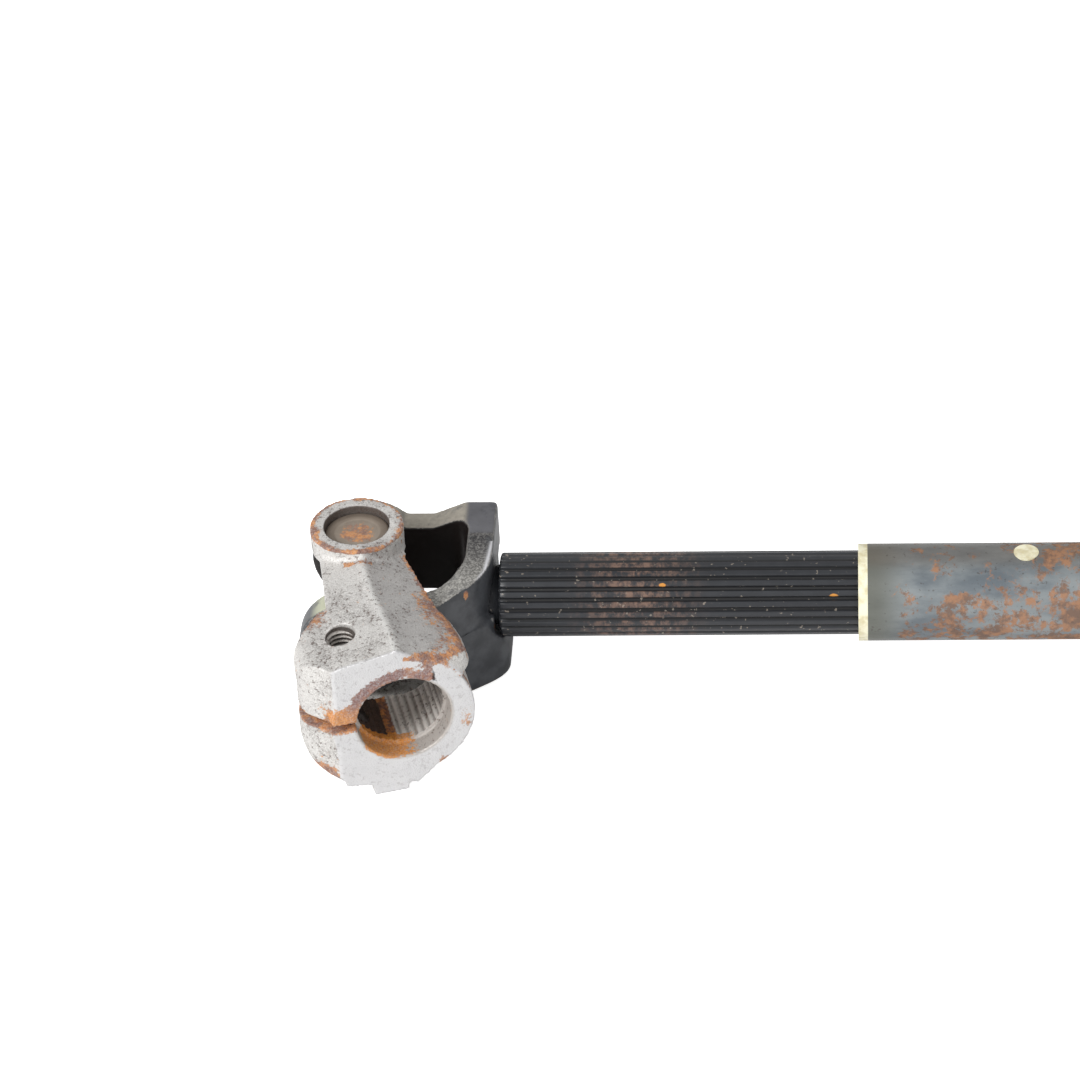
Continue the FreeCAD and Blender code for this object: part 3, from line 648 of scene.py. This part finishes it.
def cup_mesh(name, end, axis, opening, face):
    """A cup between the heights opening and face along its axis; hollow, with a dished end."""
    radii = np.linspace(CUP_MIDDLE, 6.7, 26)
    dish = face - DISH_DEPTH * (1 - ease(radii, 5.2, 6.3)) - 0.10 * band(radii, 1.0)
    turn = np.linspace(0, 0.5 * math.pi, 7)
    rim = (CUP_RADIUS - CUP_ROUND + CUP_ROUND * np.sin(turn),
           face - CUP_ROUND + CUP_ROUND * np.cos(turn))
    wall = np.linspace(face - 1.2, opening + 0.3, 6)
    inner = CUP_RADIUS - CUP_WALL
    inside = [(CUP_RADIUS - 0.25, opening), (inner, opening), (inner, face - CUP_FLOOR - 0.3),
              (inner - 0.3, face - CUP_FLOOR), (CUP_MIDDLE, face - CUP_FLOOR)]
    section = np.concatenate([np.stack([radii, dish], axis=1), np.stack(rim, axis=1),
                              np.stack([np.full(6, CUP_RADIUS), wall], axis=1), inside])
    points = CENTRES[end] + turned_solid(section, axis) * MM
    mesh = new_mesh(name, points, tube_faces(len(section), CUP_SIDES))
    put_masks(mesh, from_axis=np.repeat(section[:, 0], CUP_SIDES))
    return mesh


SIDES = {"front": (0.0, -1.0, 0.0), "back": (0.0, 1.0, 0.0),
         "top": (0.0, 0.0, 1.0), "bottom": (0.0, 0.0, -1.0)}
EAR_BODIES = {"lower": ("inner_shaft", "lower_clamp"), "upper": ("tube", "upper_clamp")}
for end in ENDS:
    for side, axis in SIDES.items():
        node = end + "_cup_" + side
        axis = np.array(axis)
        reach = box_mm(node, end) @ axis
        body = EAR_BODIES[end][0 if axis[1] else 1]
        mesh = cup_mesh(node + "_turned", end, axis, reach.min(), reach.max())
        add_piece(node + "_turned", mesh, body, "bearing_steel", [node])

# %% [markdown]
# The bar is drawn with flat-topped ribs, so that it slides in the tube's plastic lining and
# still turns it. Its surface is a grid: the radius goes down and up between rib and groove, and
# both ends are bevelled. At the yoke it is turned down to a neck and a stub, which fills the
# yoke's hole and stands a little proud of it.

# %% Ribbed bar
RIB_RADIUS = 10.35
RIBS = 24
RIB_TURN = math.radians(9.0)
GROOVE = 0.9
PER_RIB = 16
SHOULDER = 34.2  # where the neck ends and the ribs begin


def rib_height(angle):
    """0 in a groove, 1 on a rib, with rounded slopes between floor and flat top."""
    phase = ((angle - RIB_TURN) * RIBS / (2 * math.pi)) % 1.0
    return ease(np.abs(phase - 0.5) * 2, 0.26, 0.52)


def bar_mesh(name):
    """x runs along the bar; radius(x, a) = body(x) - groove * ribbed(x) * (1 - rib(a))."""
    start, end = box_mm("ribbed_shaft", "lower")[:, 0]
    neck = [(start, 0.2, 0), (start, 5.9, 0), (start + 0.35, 6.6, 0), (start + 1.0, 6.95, 0),
            (SHOULDER - 2.0, 6.95, 0), (SHOULDER - 1.2, 7.2, 0), (SHOULDER - 0.02, 7.6, 0)]
    bevel = [(SHOULDER, 9.2, 0), (SHOULDER + 0.02, 9.5, 0.5), (SHOULDER + 0.25, 10.15, 0.95),
             (SHOULDER + 0.6, RIB_RADIUS - 0.02, 1)]
    ribbed = [(x, RIB_RADIUS - 0.01, 1) for x in np.linspace(SHOULDER + 2.2, end - 1.8, 90)]
    tail = [(end - 1.0, RIB_RADIUS - 0.05, 1), (end - 0.2, 9.5, 0.4), (end, 9.2, 0), (end, 0.2, 0)]
    x, body, share = np.array(neck + bevel + ribbed + tail).T[:, :, None]
    angles = np.linspace(0, 2 * math.pi, RIBS * PER_RIB, endpoint=False)
    radius = body - share * GROOVE * (1 - rib_height(angles))
    points = np.stack([x + 0 * radius, radius * np.cos(angles), radius * np.sin(angles)], axis=-1)
    points = points.reshape(-1, 3)
    mesh = new_mesh(name, from_joint(points, "lower"), tube_faces(*radius.shape))
    # groove: 1 in the grooves, where the coat is rougher and darkened as painted shade
    groove = ease(-radius.ravel(), -RIB_RADIUS + 0.12, -RIB_RADIUS + 0.75)
    spots = bump(points, (116.1, -8.9, 5.4), (1.6, 0.9, 0.9))
    spots += bump(points, (74.6, -6.9, 7.7), (0.7, 0.7, 0.7))
    put_masks(mesh, groove=groove * (points[:, 0] > SHOULDER + 1), spots=spots)
    return mesh


add_piece("ribbed_bar", bar_mesh("ribbed_bar"), "inner_shaft", "black_coat", ["ribbed_shaft"])

# %% [markdown]
# The pinch bolt's thread is cut in the clamp's block. A thread is a ridge wound in a helix: its
# cross-section, a 60 degree tooth, climbs one pitch for each turn, and sinks into the wall at
# both ends.

# %% Pinch threads
PITCH = 1.25
THREAD_ROOT = 4.08
THREAD_CREST = 3.38
THREAD_LOW, THREAD_HIGH = 3.2, 17.5
TOOTH_LIFTS = (-0.46, -0.09, 0.09, 0.46)
STEPS_PER_TURN = 40


def thread_mesh(name, end):
    """point(t) = (r cos t, r sin t, low + pitch t / 2 pi) for the four corners of the tooth."""
    turns = (THREAD_HIGH - THREAD_LOW - PITCH) / PITCH
    ts = np.linspace(0, 2 * math.pi * turns, int(turns * STEPS_PER_TURN))
    fade = ease(ts, 0, 2.0) * ease(ts[-1] - ts, 0, 2.0)
    root = np.full(len(ts), THREAD_ROOT)
    crest = THREAD_ROOT - 0.03 - (THREAD_ROOT - 0.03 - THREAD_CREST) * fade
    radius = np.stack([root, crest, crest, root], axis=1)
    rise = (THREAD_LOW + PITCH * (0.5 + ts / (2 * math.pi)))[:, None] + np.array(TOOTH_LIFTS)
    points = np.stack([BOLT_PLACE[0] + radius * np.cos(ts)[:, None],
                       BOLT_PLACE[1] + radius * np.sin(ts)[:, None], rise], axis=-1)
    return new_mesh(name, from_local(points.reshape(-1, 3), end), tube_faces(len(ts), 4))


for end in ENDS:
    thread = thread_mesh(end + "_pinch_thread", end)
    everywhere = np.ones(len(thread.vertices))
    # the thread takes the bore's dark wall, which is painted shade, and a share of its painted
    # light
    put_masks(thread, bore=everywhere, worn_bore=everywhere * 0.6)
    add_piece(end + "_pinch_thread", thread, end + "_clamp", "forged_steel")

# %% [markdown]
# The finishes are noise in the object's own place, so they don't swim when it moves. Each method
# of this class adds one kind of node, fills its inputs and gives back its output.

# %% Node trees
def linear(colour):
    """A screen colour, 0 to 255, as the linear colour that shaders take; an output stays."""
    if not isinstance(colour, tuple):
        return colour
    shares = (value / 255 for value in colour)
    return tuple(((v + 0.055) / 1.055) ** 2.4 if v > 0.04 else v / 12.92 for v in shares) + (1.0,)


class Nodes:
    """A node tree, and the place that its patterns are laid on."""

    def __init__(self, tree, place=None):
        self.tree, self.place = tree, place

    def fill(self, sockets, values):
        """Links or sets each named socket."""
        for key, value in values.items():
            if isinstance(value, bpy.types.NodeSocket):
                self.tree.links.new(value, sockets[key])
            else:
                sockets[key].default_value = value

    def add(self, kind, inputs, **settings):
        """Adds a node, sets its properties, fills its inputs and gives its outputs."""
        node = self.tree.nodes.new("ShaderNode" + kind)
        for key, value in settings.items():
            setattr(node, key, value)
        self.fill(node.inputs, inputs)
        return node.outputs

    def blend(self, share, first, second):
        """Mixes two colours."""
        inputs = {0: share, 6: linear(first), 7: linear(second)}
        return self.add("Mix", inputs, data_type="RGBA")[2]

    def lay(self, under, share, strength, colour):
        """Lays a colour over another by a mask times a strength."""
        return self.blend(self.times(share, strength), under, colour)

    def span(self, value, low, high, start=0.0, end=1.0, shape="SMOOTHSTEP"):
        """Maps a value from low..high to start..end, with a smooth step unless told otherwise."""
        inputs = {0: value, 1: low, 2: high, 3: start, 4: end}
        return self.add("MapRange", inputs, interpolation_type=shape)[0]

    def fade(self, mask, start, end):
        """From start where a mask is 0 to end where it is 1."""
        return self.span(mask, 0.0, 1.0, start, end)

    def maths(self, operation, first, second=0.0, held=True):
        """One sum on two values, held between 0 and 1 unless told otherwise."""
        return self.add("Math", {0: first, 1: second}, operation=operation, use_clamp=held)[0]

    def times(self, first, second):
        """A product, held between 0 and 1."""
        return self.maths("MULTIPLY", first, second)

    def plus(self, first, second):
        """A sum, held between 0 and 1."""
        return self.maths("ADD", first, second)

    def cloud(self, scale, detail=3.0, rough=0.6, stretch=None):
        """Noise from 0 to 1; `stretch` scales the axes, for streaks."""
        place = self.place
        if stretch:
            place = self.add("VectorMath", {0: place, 1: stretch}, operation="MULTIPLY")[0]
        inputs = {"Vector": place, "Scale": scale, "Detail": detail, "Roughness": rough}
        return self.add("TexNoise", inputs)[0]

    def masks(self, names):
        """The numbers that are stored on the mesh's points under these names."""
        return [self.add("Attribute", {}, attribute_name=name, attribute_type="GEOMETRY")["Fac"]
                for name in names.split()]

    def use(self, effect, **inputs):
        """Places a shared effect, on the same place."""
        return self.add("Group", {"Place": self.place, **inputs}, node_tree=effect.tree)


print("mid grey 128 is", round(linear((128,))[0], 4), "to a shader")

# %% [markdown]
# Two effects are node groups, built once: a speckle of pits as blasted steel has, and rust
# patches that spread as their amount grows. They give only colours and masks, and every
# material mixes them into its own shader.

# %% Shared effects
def new_effect(name, inputs, outputs):
    """A node group on a place: its tree, its input sockets and its output sockets."""
    group = bpy.data.node_groups.new(name, "ShaderNodeTree")
    for way, sockets in (("INPUT", {"Place": "Vector", **inputs}), ("OUTPUT", outputs)):
        for label, kind in sockets.items():
            group.interface.new_socket(label, in_out=way, socket_type="NodeSocket" + kind)
    into = group.nodes.new("NodeGroupInput").outputs
    return Nodes(group, into["Place"]), into, group.nodes.new("NodeGroupOutput").inputs


def speckle_effect():
    """Dark pits, bright grain and broad stains, from three sizes of noise."""
    t, _, out = new_effect("speckle", {}, {"Pits": "Float", "Grain": "Float", "Stain": "Float"})
    fine = t.cloud(2600.0, 2.0)
    middle = t.cloud(1150.0, 4.0, 0.72)
    broad = t.cloud(150.0)
    pit_level = t.plus(middle, t.span(broad, 0.35, 0.7, 0.0, 0.07))
    t.fill(out, {"Pits": t.span(pit_level, 0.60, 0.655), "Grain": t.span(fine, 0.3, 0.7),
                 "Stain": t.span(broad, 0.38, 0.66)})
    return t


def rust_effect():
    """Rust wherever noise is above a limit that falls as the amount grows."""
    t, into, out = new_effect("rust patches", {"Amount": "Float"},
                              {"Mask": "Float", "Colour": "Color", "Lift": "Float"})
    big = t.cloud(260.0, 5.0, 0.7)
    small = t.cloud(1300.0, 4.0, 0.75)
    level = t.plus(t.times(big, 0.48), t.times(small, 0.52))
    limit = t.span(into["Amount"], 0.0, 1.0, 0.74, 0.34, "LINEAR")
    over = t.maths("SUBTRACT", level, limit, held=False)
    thin = t.span(t.cloud(1900.0, 3.0, 0.7), 0.34, 0.56, 0.7, 1.0)
    tone = t.span(t.cloud(330.0, 4.0, 0.65), 0.44, 0.58)
    brown = t.blend(t.span(small, 0.35, 0.65), (112, 74, 60), (150, 108, 90))
    orange = t.blend(t.span(small, 0.4, 0.6), (178, 108, 58), (208, 146, 86))
    dusty = t.span(t.cloud(900.0), 0.58, 0.72, 0.0, 0.3)
    t.fill(out, {"Mask": t.times(t.span(over, -0.02, 0.05), thin), "Lift": small,
                 "Colour": t.blend(dusty, t.blend(tone, brown, orange), (196, 160, 136))})
    return t


speckle, rust_patches = speckle_effect(), rust_effect()
print("effects", speckle.tree.name, "and", rust_patches.tree.name)

# %% [markdown]
# A material starts from its own Principled shader. Its colour is laid up in layers: metal, coat,
# wear and rust as on the real piece, and painted light and shade, each let through by a mask.

# %% Materials
MATERIALS = {}


class Finish(Nodes):
    """A material's node tree, with the object's own place and its Principled shader."""

    def __init__(self, name):
        material = bpy.data.materials.new(name)
        material.use_nodes = True
        super().__init__(material.node_tree)
        self.place = self.add("TexCoord", {})["Object"]
        self.shader = self.tree.nodes["Principled BSDF"].inputs
        MATERIALS[name.replace(" ", "_")] = material

    def relief(self, height, distance, strength):
        """Bump from a height of 0 to 1, `distance` millimetres deep."""
        inputs = {"Height": height, "Distance": distance * MM, "Strength": strength}
        self.fill(self.shader, {"Normal": self.add("Bump", inputs)[0]})

    def drive(self, **sockets):
        """Fills the shader's inputs; underscores in a name stand for spaces."""
        self.fill(self.shader, {key.replace("_", " "): value for key, value in sockets.items()})


print("finishes so far", len(MATERIALS))

# %% [markdown]
# The forging is light grey, blasted and dotted with dark pits, and its end face is machined and
# nearly white. The masks on the mesh say where each finish and each painted light and shade lies,
# the noise says how ragged.

# %% Forged steel
def forged_steel():
    """Pitted forging with machined faces and rust, and painted light and shade."""
    t = Finish("forged steel")
    machined, bore, edge, rust, hole = t.masks("machined bore edge rust hole")
    vivid, purple, worn_bore = t.masks("vivid purple worn_bore")
    ridge, shade = t.masks("ridge shade")
    dots = t.use(speckle)
    # the blasted skin: stains, bright grain, painted shade on the crest's far side, edges, and a
    # painted highlight along the crest
    skin = t.blend(dots["Stain"], (200, 197, 193), (172, 168, 164))
    skin = t.lay(skin, dots["Grain"], 0.8, (232, 230, 227))
    skin = t.lay(skin, shade, 0.45, (150, 147, 146))
    skin = t.lay(skin, edge, 0.55, (222, 220, 217))
    skin = t.lay(skin, ridge, 0.6, (238, 237, 234))
    # machined metal; the bore's wall, dark brown from rust and painted shade, with painted light
    # where it is lit; painted shade in the holes; and pits over all of them
    turned = t.blend(t.cloud(260.0), (219, 218, 218), (206, 205, 206))
    wall = t.blend(t.cloud(700.0, 4.0, 0.7), (44, 34, 30), (104, 82, 70))
    wall = t.lay(wall, worn_bore, 0.96, (240, 236, 230))
    skin = t.blend(bore, t.blend(machined, skin, turned), wall)
    # painted shade in the ear and bolt holes
    skin = t.lay(skin, hole, 0.85, (64, 50, 42))
    pits = t.times(dots["Pits"], t.fade(machined, 0.85, 0.25))
    skin = t.lay(skin, pits, 0.85, (92, 74, 66))
    # rust: a little everywhere, more by the mask; vivid at the slit, purple over the bore
    settled = t.plus(rust, t.fade(machined, 0.31, 0.15))
    patches = t.use(rust_patches, Amount=settled)
    covered = t.times(patches["Mask"], t.span(settled, 0.05, 0.2, 0.0, 0.94))
    fresh = t.blend(dots["Grain"], (196, 112, 20), (232, 160, 60))
    old = t.blend(dots["Grain"], (96, 66, 68), (142, 106, 104))
    tint = t.blend(t.times(vivid, 0.75), patches["Colour"], fresh)
    tint = t.blend(t.times(purple, 0.7), tint, old)
    rough = t.plus(t.fade(machined, 0.52, 0.38), t.times(covered, 0.35))
    t.drive(Base_Color=t.blend(covered, skin, tint),
            Metallic=t.fade(covered, 0.35, 0.0), Roughness=rough)
    height = t.maths("SUBTRACT", t.times(dots["Grain"], 0.35), t.times(pits, 0.9))
    crust = t.times(covered, t.times(patches["Lift"], 0.5))
    t.relief(t.plus(t.plus(height, 0.4), crust), 0.16, 1.0)


forged_steel()
print("finishes", list(MATERIALS))

# %% [markdown]
# Paint on the shaft yoke is nearly black and satin. Its sheared edge is bare, the stretched bend
# is scuffed bright, and the inside of the yoke gets painted shade.

# %% Yoke paint
def black_paint():
    """Satin paint, painted shade inside, bare sheared edges, scuffed bends."""
    t = Finish("black paint")
    edge, cut, bend, inside, rust = t.masks("edge cut rough inside rust")
    plate_end, tip, scratch, forward = t.masks("plate_end tip scratch forward")
    veil = t.cloud(150.0, 4.0)
    dots = t.cloud(900.0)
    grit = t.span(t.cloud(1900.0, 3.0, 0.7), 0.40, 0.66)
    paint = t.blend(t.span(veil, 0.35, 0.65), (50, 52, 56), (74, 76, 80))
    # painted shade on the inside of the yoke
    paint = t.blend(inside, paint, (28, 23, 22))
    # the bare edge: sheared steel, a paler ear tip, the plate's end, and the rough bend
    steel = t.blend(dots, (136, 130, 120), (190, 183, 170))
    steel = t.blend(tip, steel, (206, 208, 184))
    end_face = t.blend(veil, (84, 84, 88), (124, 124, 128))
    steel = t.blend(plate_end, steel, end_face)
    dull = t.blend(forward, (58, 57, 58), (132, 130, 126))
    bright = t.blend(forward, (128, 126, 124), (198, 196, 190))
    steel = t.blend(bend, steel, t.blend(grit, dull, bright))
    ragged = t.span(t.cloud(240.0, 4.0, 0.65), 0.28, 0.48, 0.35, 1.0)
    bare = t.times(cut, ragged)
    paint = t.blend(bare, paint, steel)
    # wear over both: the scratch, the corners, and rust
    paint = t.lay(paint, scratch, 0.9, (232, 232, 236))
    worn = t.maths("MULTIPLY", edge, t.cloud(520.0, 4.0, 0.7), held=False)
    paint = t.lay(paint, t.span(worn, 0.22, 0.34), 0.6, (176, 174, 170))
    patches = t.use(rust_patches, Amount=rust)
    covered = t.times(patches["Mask"], t.span(rust, 0.05, 0.3))
    t.drive(Base_Color=t.blend(covered, paint, patches["Colour"]),
            Metallic=t.times(bare, 0.4), Roughness=t.fade(bare, 0.36, 0.5))
    height = t.times(dots, t.fade(bend, 0.15, 0.9))
    t.relief(t.plus(height, t.times(veil, 0.2)), 0.12, 0.8)


black_paint()
print("finishes", list(MATERIALS))

# %% [markdown]
# The bar's coat lets it slide: it is matt in the grooves, which are darkened as painted shade,
# and polished on the rib tops. One stretch, between the yoke and the tube's mouth, has brown
# streaks on its tops.

# %% Bar coating
STAIN_PLACE = 0.068  # metres from the lower joint to the stained stretch's middle


def black_coat():
    """Matt grooves darkened as painted shade, polished rib tops, one stained stretch."""
    t = Finish("black coat")
    groove, spots = t.masks("groove spots")
    along = t.add("SeparateXYZ", {0: t.place})[0]
    veil = t.cloud(260.0, 4.0, 0.65)
    streaks = t.cloud(700.0, 5.0, 0.72, (0.7, 0.45, 0.45))
    coat = t.blend(veil, (34, 36, 40), (52, 54, 58))
    # painted shade: the coat is darkest in the grooves
    coat = t.blend(groove, coat, (16, 16, 18))
    from_middle = t.maths("SUBTRACT", along, CENTRES["lower"][0] + STAIN_PLACE, held=False)
    near = t.span(t.maths("ABSOLUTE", from_middle, held=False), 0.003, 0.019, 1.0, 0.0)
    on_tops = t.times(near, t.span(groove, 0.0, 0.6, 1.0, 0.0))
    stain = t.times(on_tops, t.span(streaks, 0.40, 0.62))
    rusty = t.blend(streaks, (92, 60, 50), (168, 136, 116))
    coat = t.blend(t.times(stain, 0.62), coat, rusty)
    specks = t.span(t.cloud(900.0, 2.0, 0.5), 0.685, 0.715)
    coat = t.lay(coat, specks, 0.7, (150, 140, 128))
    chips = t.span(t.times(spots, veil), 0.22, 0.32)
    coat = t.blend(chips, coat, (206, 140, 60))
    t.drive(Base_Color=coat, Roughness=t.fade(groove, 0.34, 0.6))
    height = t.plus(t.times(veil, 0.5), t.times(stain, 0.3))
    t.relief(height, 0.08, 0.6)


black_coat()
print("finishes", list(MATERIALS))

# %% [markdown]
# The tube was never painted: blue-grey scale, an olive film of grease near the mouth, and rust
# over its lower side and far end, where noise decides where it breaks through.

# %% Tube steel
FACING_UP = (0.0, 0.604, 0.797)  # upwards as the camera sees it


def tube_steel():
    """Scaled blue-grey tube with rust patches."""
    t = Finish("tube steel")
    along = t.add("SeparateXYZ", {0: t.place})[0]
    up = t.add("VectorMath", {0: t.place, 1: FACING_UP}, operation="DOT_PRODUCT")["Value"]
    mouth = float(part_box("outer_tube")[0][0])
    haze = t.cloud(90.0, 5.0, 0.6, (0.45, 1.0, 1.0))
    dots = t.cloud(900.0)
    scale = t.blend(t.span(haze, 0.36, 0.62), (104, 112, 118), (142, 148, 150))
    film = t.span(along, mouth + 0.001, mouth + 0.012, 0.75, 0.0)
    scale = t.blend(film, scale, (100, 100, 88))
    dust = t.span(up, 0.0045, 0.0085, 0.0, 0.45)
    scale = t.blend(dust, scale, (122, 112, 100))
    low = t.span(up, -0.0035, 0.002, 0.54, 0.30)
    far = t.span(along, mouth + 0.036, mouth + 0.050, 0.0, 0.22)
    start = t.span(along, mouth + 0.004, mouth + 0.010)
    amount = t.times(t.plus(low, far), start)
    limit = t.span(amount, 0.0, 1.0, 0.66, 0.33, "LINEAR")
    over = t.maths("SUBTRACT", t.cloud(210.0, 6.0, 0.74), limit, held=False)
    covered = t.span(over, -0.03, 0.06, 0.0, 0.85)
    tone = t.span(t.cloud(300.0, 4.0, 0.7), 0.4, 0.6)
    rust = t.blend(tone, (116, 86, 66), (164, 116, 80))
    colour = t.blend(covered, scale, rust)
    colour = t.blend(t.span(dots, 0.62, 0.7, 0.0, 0.5), colour, (70, 62, 56))
    t.drive(Base_Color=colour, Metallic=t.fade(covered, 0.35, 0.0),
            Roughness=t.fade(covered, 0.42, 0.8))
    t.relief(t.plus(t.times(covered, 0.6), t.times(dots, 0.3)), 0.07, 0.7)


tube_steel()
print("finishes", list(MATERIALS))

# %% [markdown]
# The lining is cream plastic, which yellows with age. Bearing steel is brownish, and a cup's
# dish holds water, so it rusts from its middle. The seals are matt dark rubber.

# %% Lining, cups and seals
def cream_plastic():
    """The lining's plastic, yellowed."""
    t = Finish("cream plastic")
    haze = t.cloud(300.0, 4.0)
    colour = t.blend(t.span(haze, 0.4, 0.66), (244, 240, 212), (216, 206, 168))
    t.drive(Base_Color=colour, Roughness=0.5,
            Subsurface_Weight=0.05, Subsurface_Radius=(0.001, 0.0008, 0.0004))
    t.relief(haze, 0.03, 0.5)


def bearing_steel(name, dished):
    """Brownish bearing steel; on a cup, rust in the dish."""
    t = Finish(name)
    away = t.masks("from_axis")[0] if dished else 5.6
    haze = t.cloud(300.0, 4.0)
    steel = t.blend(haze, (150, 136, 122), (186, 174, 160))
    steel = t.lay(steel, t.span(away, 5.3, 5.9), 0.5, (122, 108, 96))
    amount = t.span(away, 2.8, 6.0, 0.80, 0.16)
    patches = t.use(rust_patches, Amount=amount)
    colour = t.blend(t.times(patches["Mask"], 0.85), steel, patches["Colour"])
    t.drive(Base_Color=colour, Metallic=t.fade(patches["Mask"], 0.6, 0.0), Roughness=0.42)
    t.relief(t.plus(haze, t.times(patches["Mask"], 0.4)), 0.05, 0.6)


def seal_rubber():
    """Matt dark rubber."""
    t = Finish("seal rubber")
    colour = t.blend(t.cloud(500.0), (26, 26, 27), (44, 42, 40))
    t.drive(Base_Color=colour, Roughness=0.7)


cream_plastic()
bearing_steel("bearing steel", True)
bearing_steel("inner bearing steel", False)
seal_rubber()
print("finishes", list(MATERIALS))

# %% [markdown]
# A new piece names its material in its slot. The CAD nodes that nothing stands for are the tube,
# its lining, the seals, and the bearings' inner steel.

# %% Dress the pieces
NODE_FINISH = {"outer_tube": "tube_steel", "slide_lining": "cream_plastic"}
for node, piece in frame["nodes"].items():
    finish = NODE_FINISH.get(node, "seal_rubber" if "seal" in node else "inner_bearing_steel")
    piece.data.materials.clear()
    piece.data.materials.append(MATERIALS[finish])
for piece in bpy.data.objects:
    if piece.type == "MESH" and piece.get("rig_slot") and piece.name not in frame["nodes"]:
        piece.data.materials.clear()
        piece.data.materials.append(MATERIALS[piece["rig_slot"]])

# %% [markdown]
# The photograph looks down on the shaft from in front. The tube's mouth is seen edge-on, so the
# lens stood straight before it, and the picture is the left part of a wider view: the lens is
# shifted. Height, distance and focal length come from how round the ring and the holes look.

# %% Camera
CAMERA_FROM_JOINT = Vector((122.6, -886.0, 668.6)) * MM
LOOK_DOWN = math.radians(37.14)
ROLL = 0.0067
FOCAL_PIXELS = 4500.0
PICTURE_PIXELS = 1080.0
AXIS_PIXELS = (860.0, 600.0)  # where the lens's axis meets the picture
SENSOR = 36.0
camera_data = bpy.data.cameras.new("camera")
camera_data.sensor_width = SENSOR
camera_data.lens = SENSOR * FOCAL_PIXELS / PICTURE_PIXELS
camera_data.shift_x = (PICTURE_PIXELS / 2 - AXIS_PIXELS[0]) / PICTURE_PIXELS
camera_data.shift_y = (AXIS_PIXELS[1] - PICTURE_PIXELS / 2) / PICTURE_PIXELS
camera_data.clip_start = 0.01
camera = link("camera", camera_data)
turn = Matrix.Rotation(math.radians(90.0) - LOOK_DOWN, 3, "X") @ Matrix.Rotation(-ROLL, 3, "Z")
camera.rotation_euler = turn.to_euler()
camera.location = Vector(CENTRES["lower"]) + CAMERA_FROM_JOINT
bpy.context.scene.camera = camera
print("lens", camera_data.lens, "mm, shifted by", round(camera_data.shift_x, 3))

# %% [markdown]
# The photograph is lit softly and nearly without shadow. A large lamp stands on the left, a
# weaker one fills from the right, and a plain bright world lights every side alike.

# %% Light
LAMPS = {"key": ((-1.3, -0.9, 1.1), 0.8, 24.0), "fill": ((0.6, -1.3, 0.9), 1.2, 5.0)}
WORLD_STRENGTH = 0.5
for name, (stand, size, power) in LAMPS.items():
    data = bpy.data.lights.new(name, "AREA")
    data.shape = "SQUARE"
    data.size = size
    data.energy = power
    lamp = link(name, data)
    lamp.location = stand
    aim = Vector(CENTRES["lower"]) - Vector(stand)
    lamp.rotation_euler = aim.to_track_quat("-Z", "Y").to_euler()
    print(name, "lamp", size, "m wide,", power, "W")
world = bpy.data.worlds.new("studio")
bpy.context.scene.world = world
world.use_nodes = True
background = world.node_tree.nodes["Background"].inputs
background["Color"].default_value = (1, 1, 1, 1)
background["Strength"].default_value = WORLD_STRENGTH

# %% [markdown]
# The ground in the photograph is pure white. A matt white plane alone would come out grey, so
# it also glows, but only for the camera: its glow doesn't light the shaft from below.

# %% Floor
FLOOR_HALF = 6.0
corners = [(x * FLOOR_HALF, y * FLOOR_HALF, FLOOR) for x, y in ((-1, -1), (1, -1), (1, 1), (-1, 1))]
floor_mesh = bpy.data.meshes.new("floor")
floor_mesh.from_pydata(corners, [], [(0, 1, 2, 3)])
floor = link("floor", floor_mesh)
t = Finish("white floor")
seen = t.add("LightPath", {})["Is Camera Ray"]
t.drive(Base_Color=linear((250, 250, 250)), Roughness=0.9, Specular_IOR_Level=0.0,
        Emission_Strength=t.times(seen, 0.8), Emission_Color=(1.0, 1.0, 1.0, 1.0))
floor_mesh.materials.append(MATERIALS["white_floor"])
print("floor at z =", FLOOR)

# %% [markdown]
# Last, the picture's colours are shown as they are, without a film look. The dressed model
# has to stay inside the CAD's.

# %% Colour view
bpy.context.scene.view_settings.view_transform = "Standard"
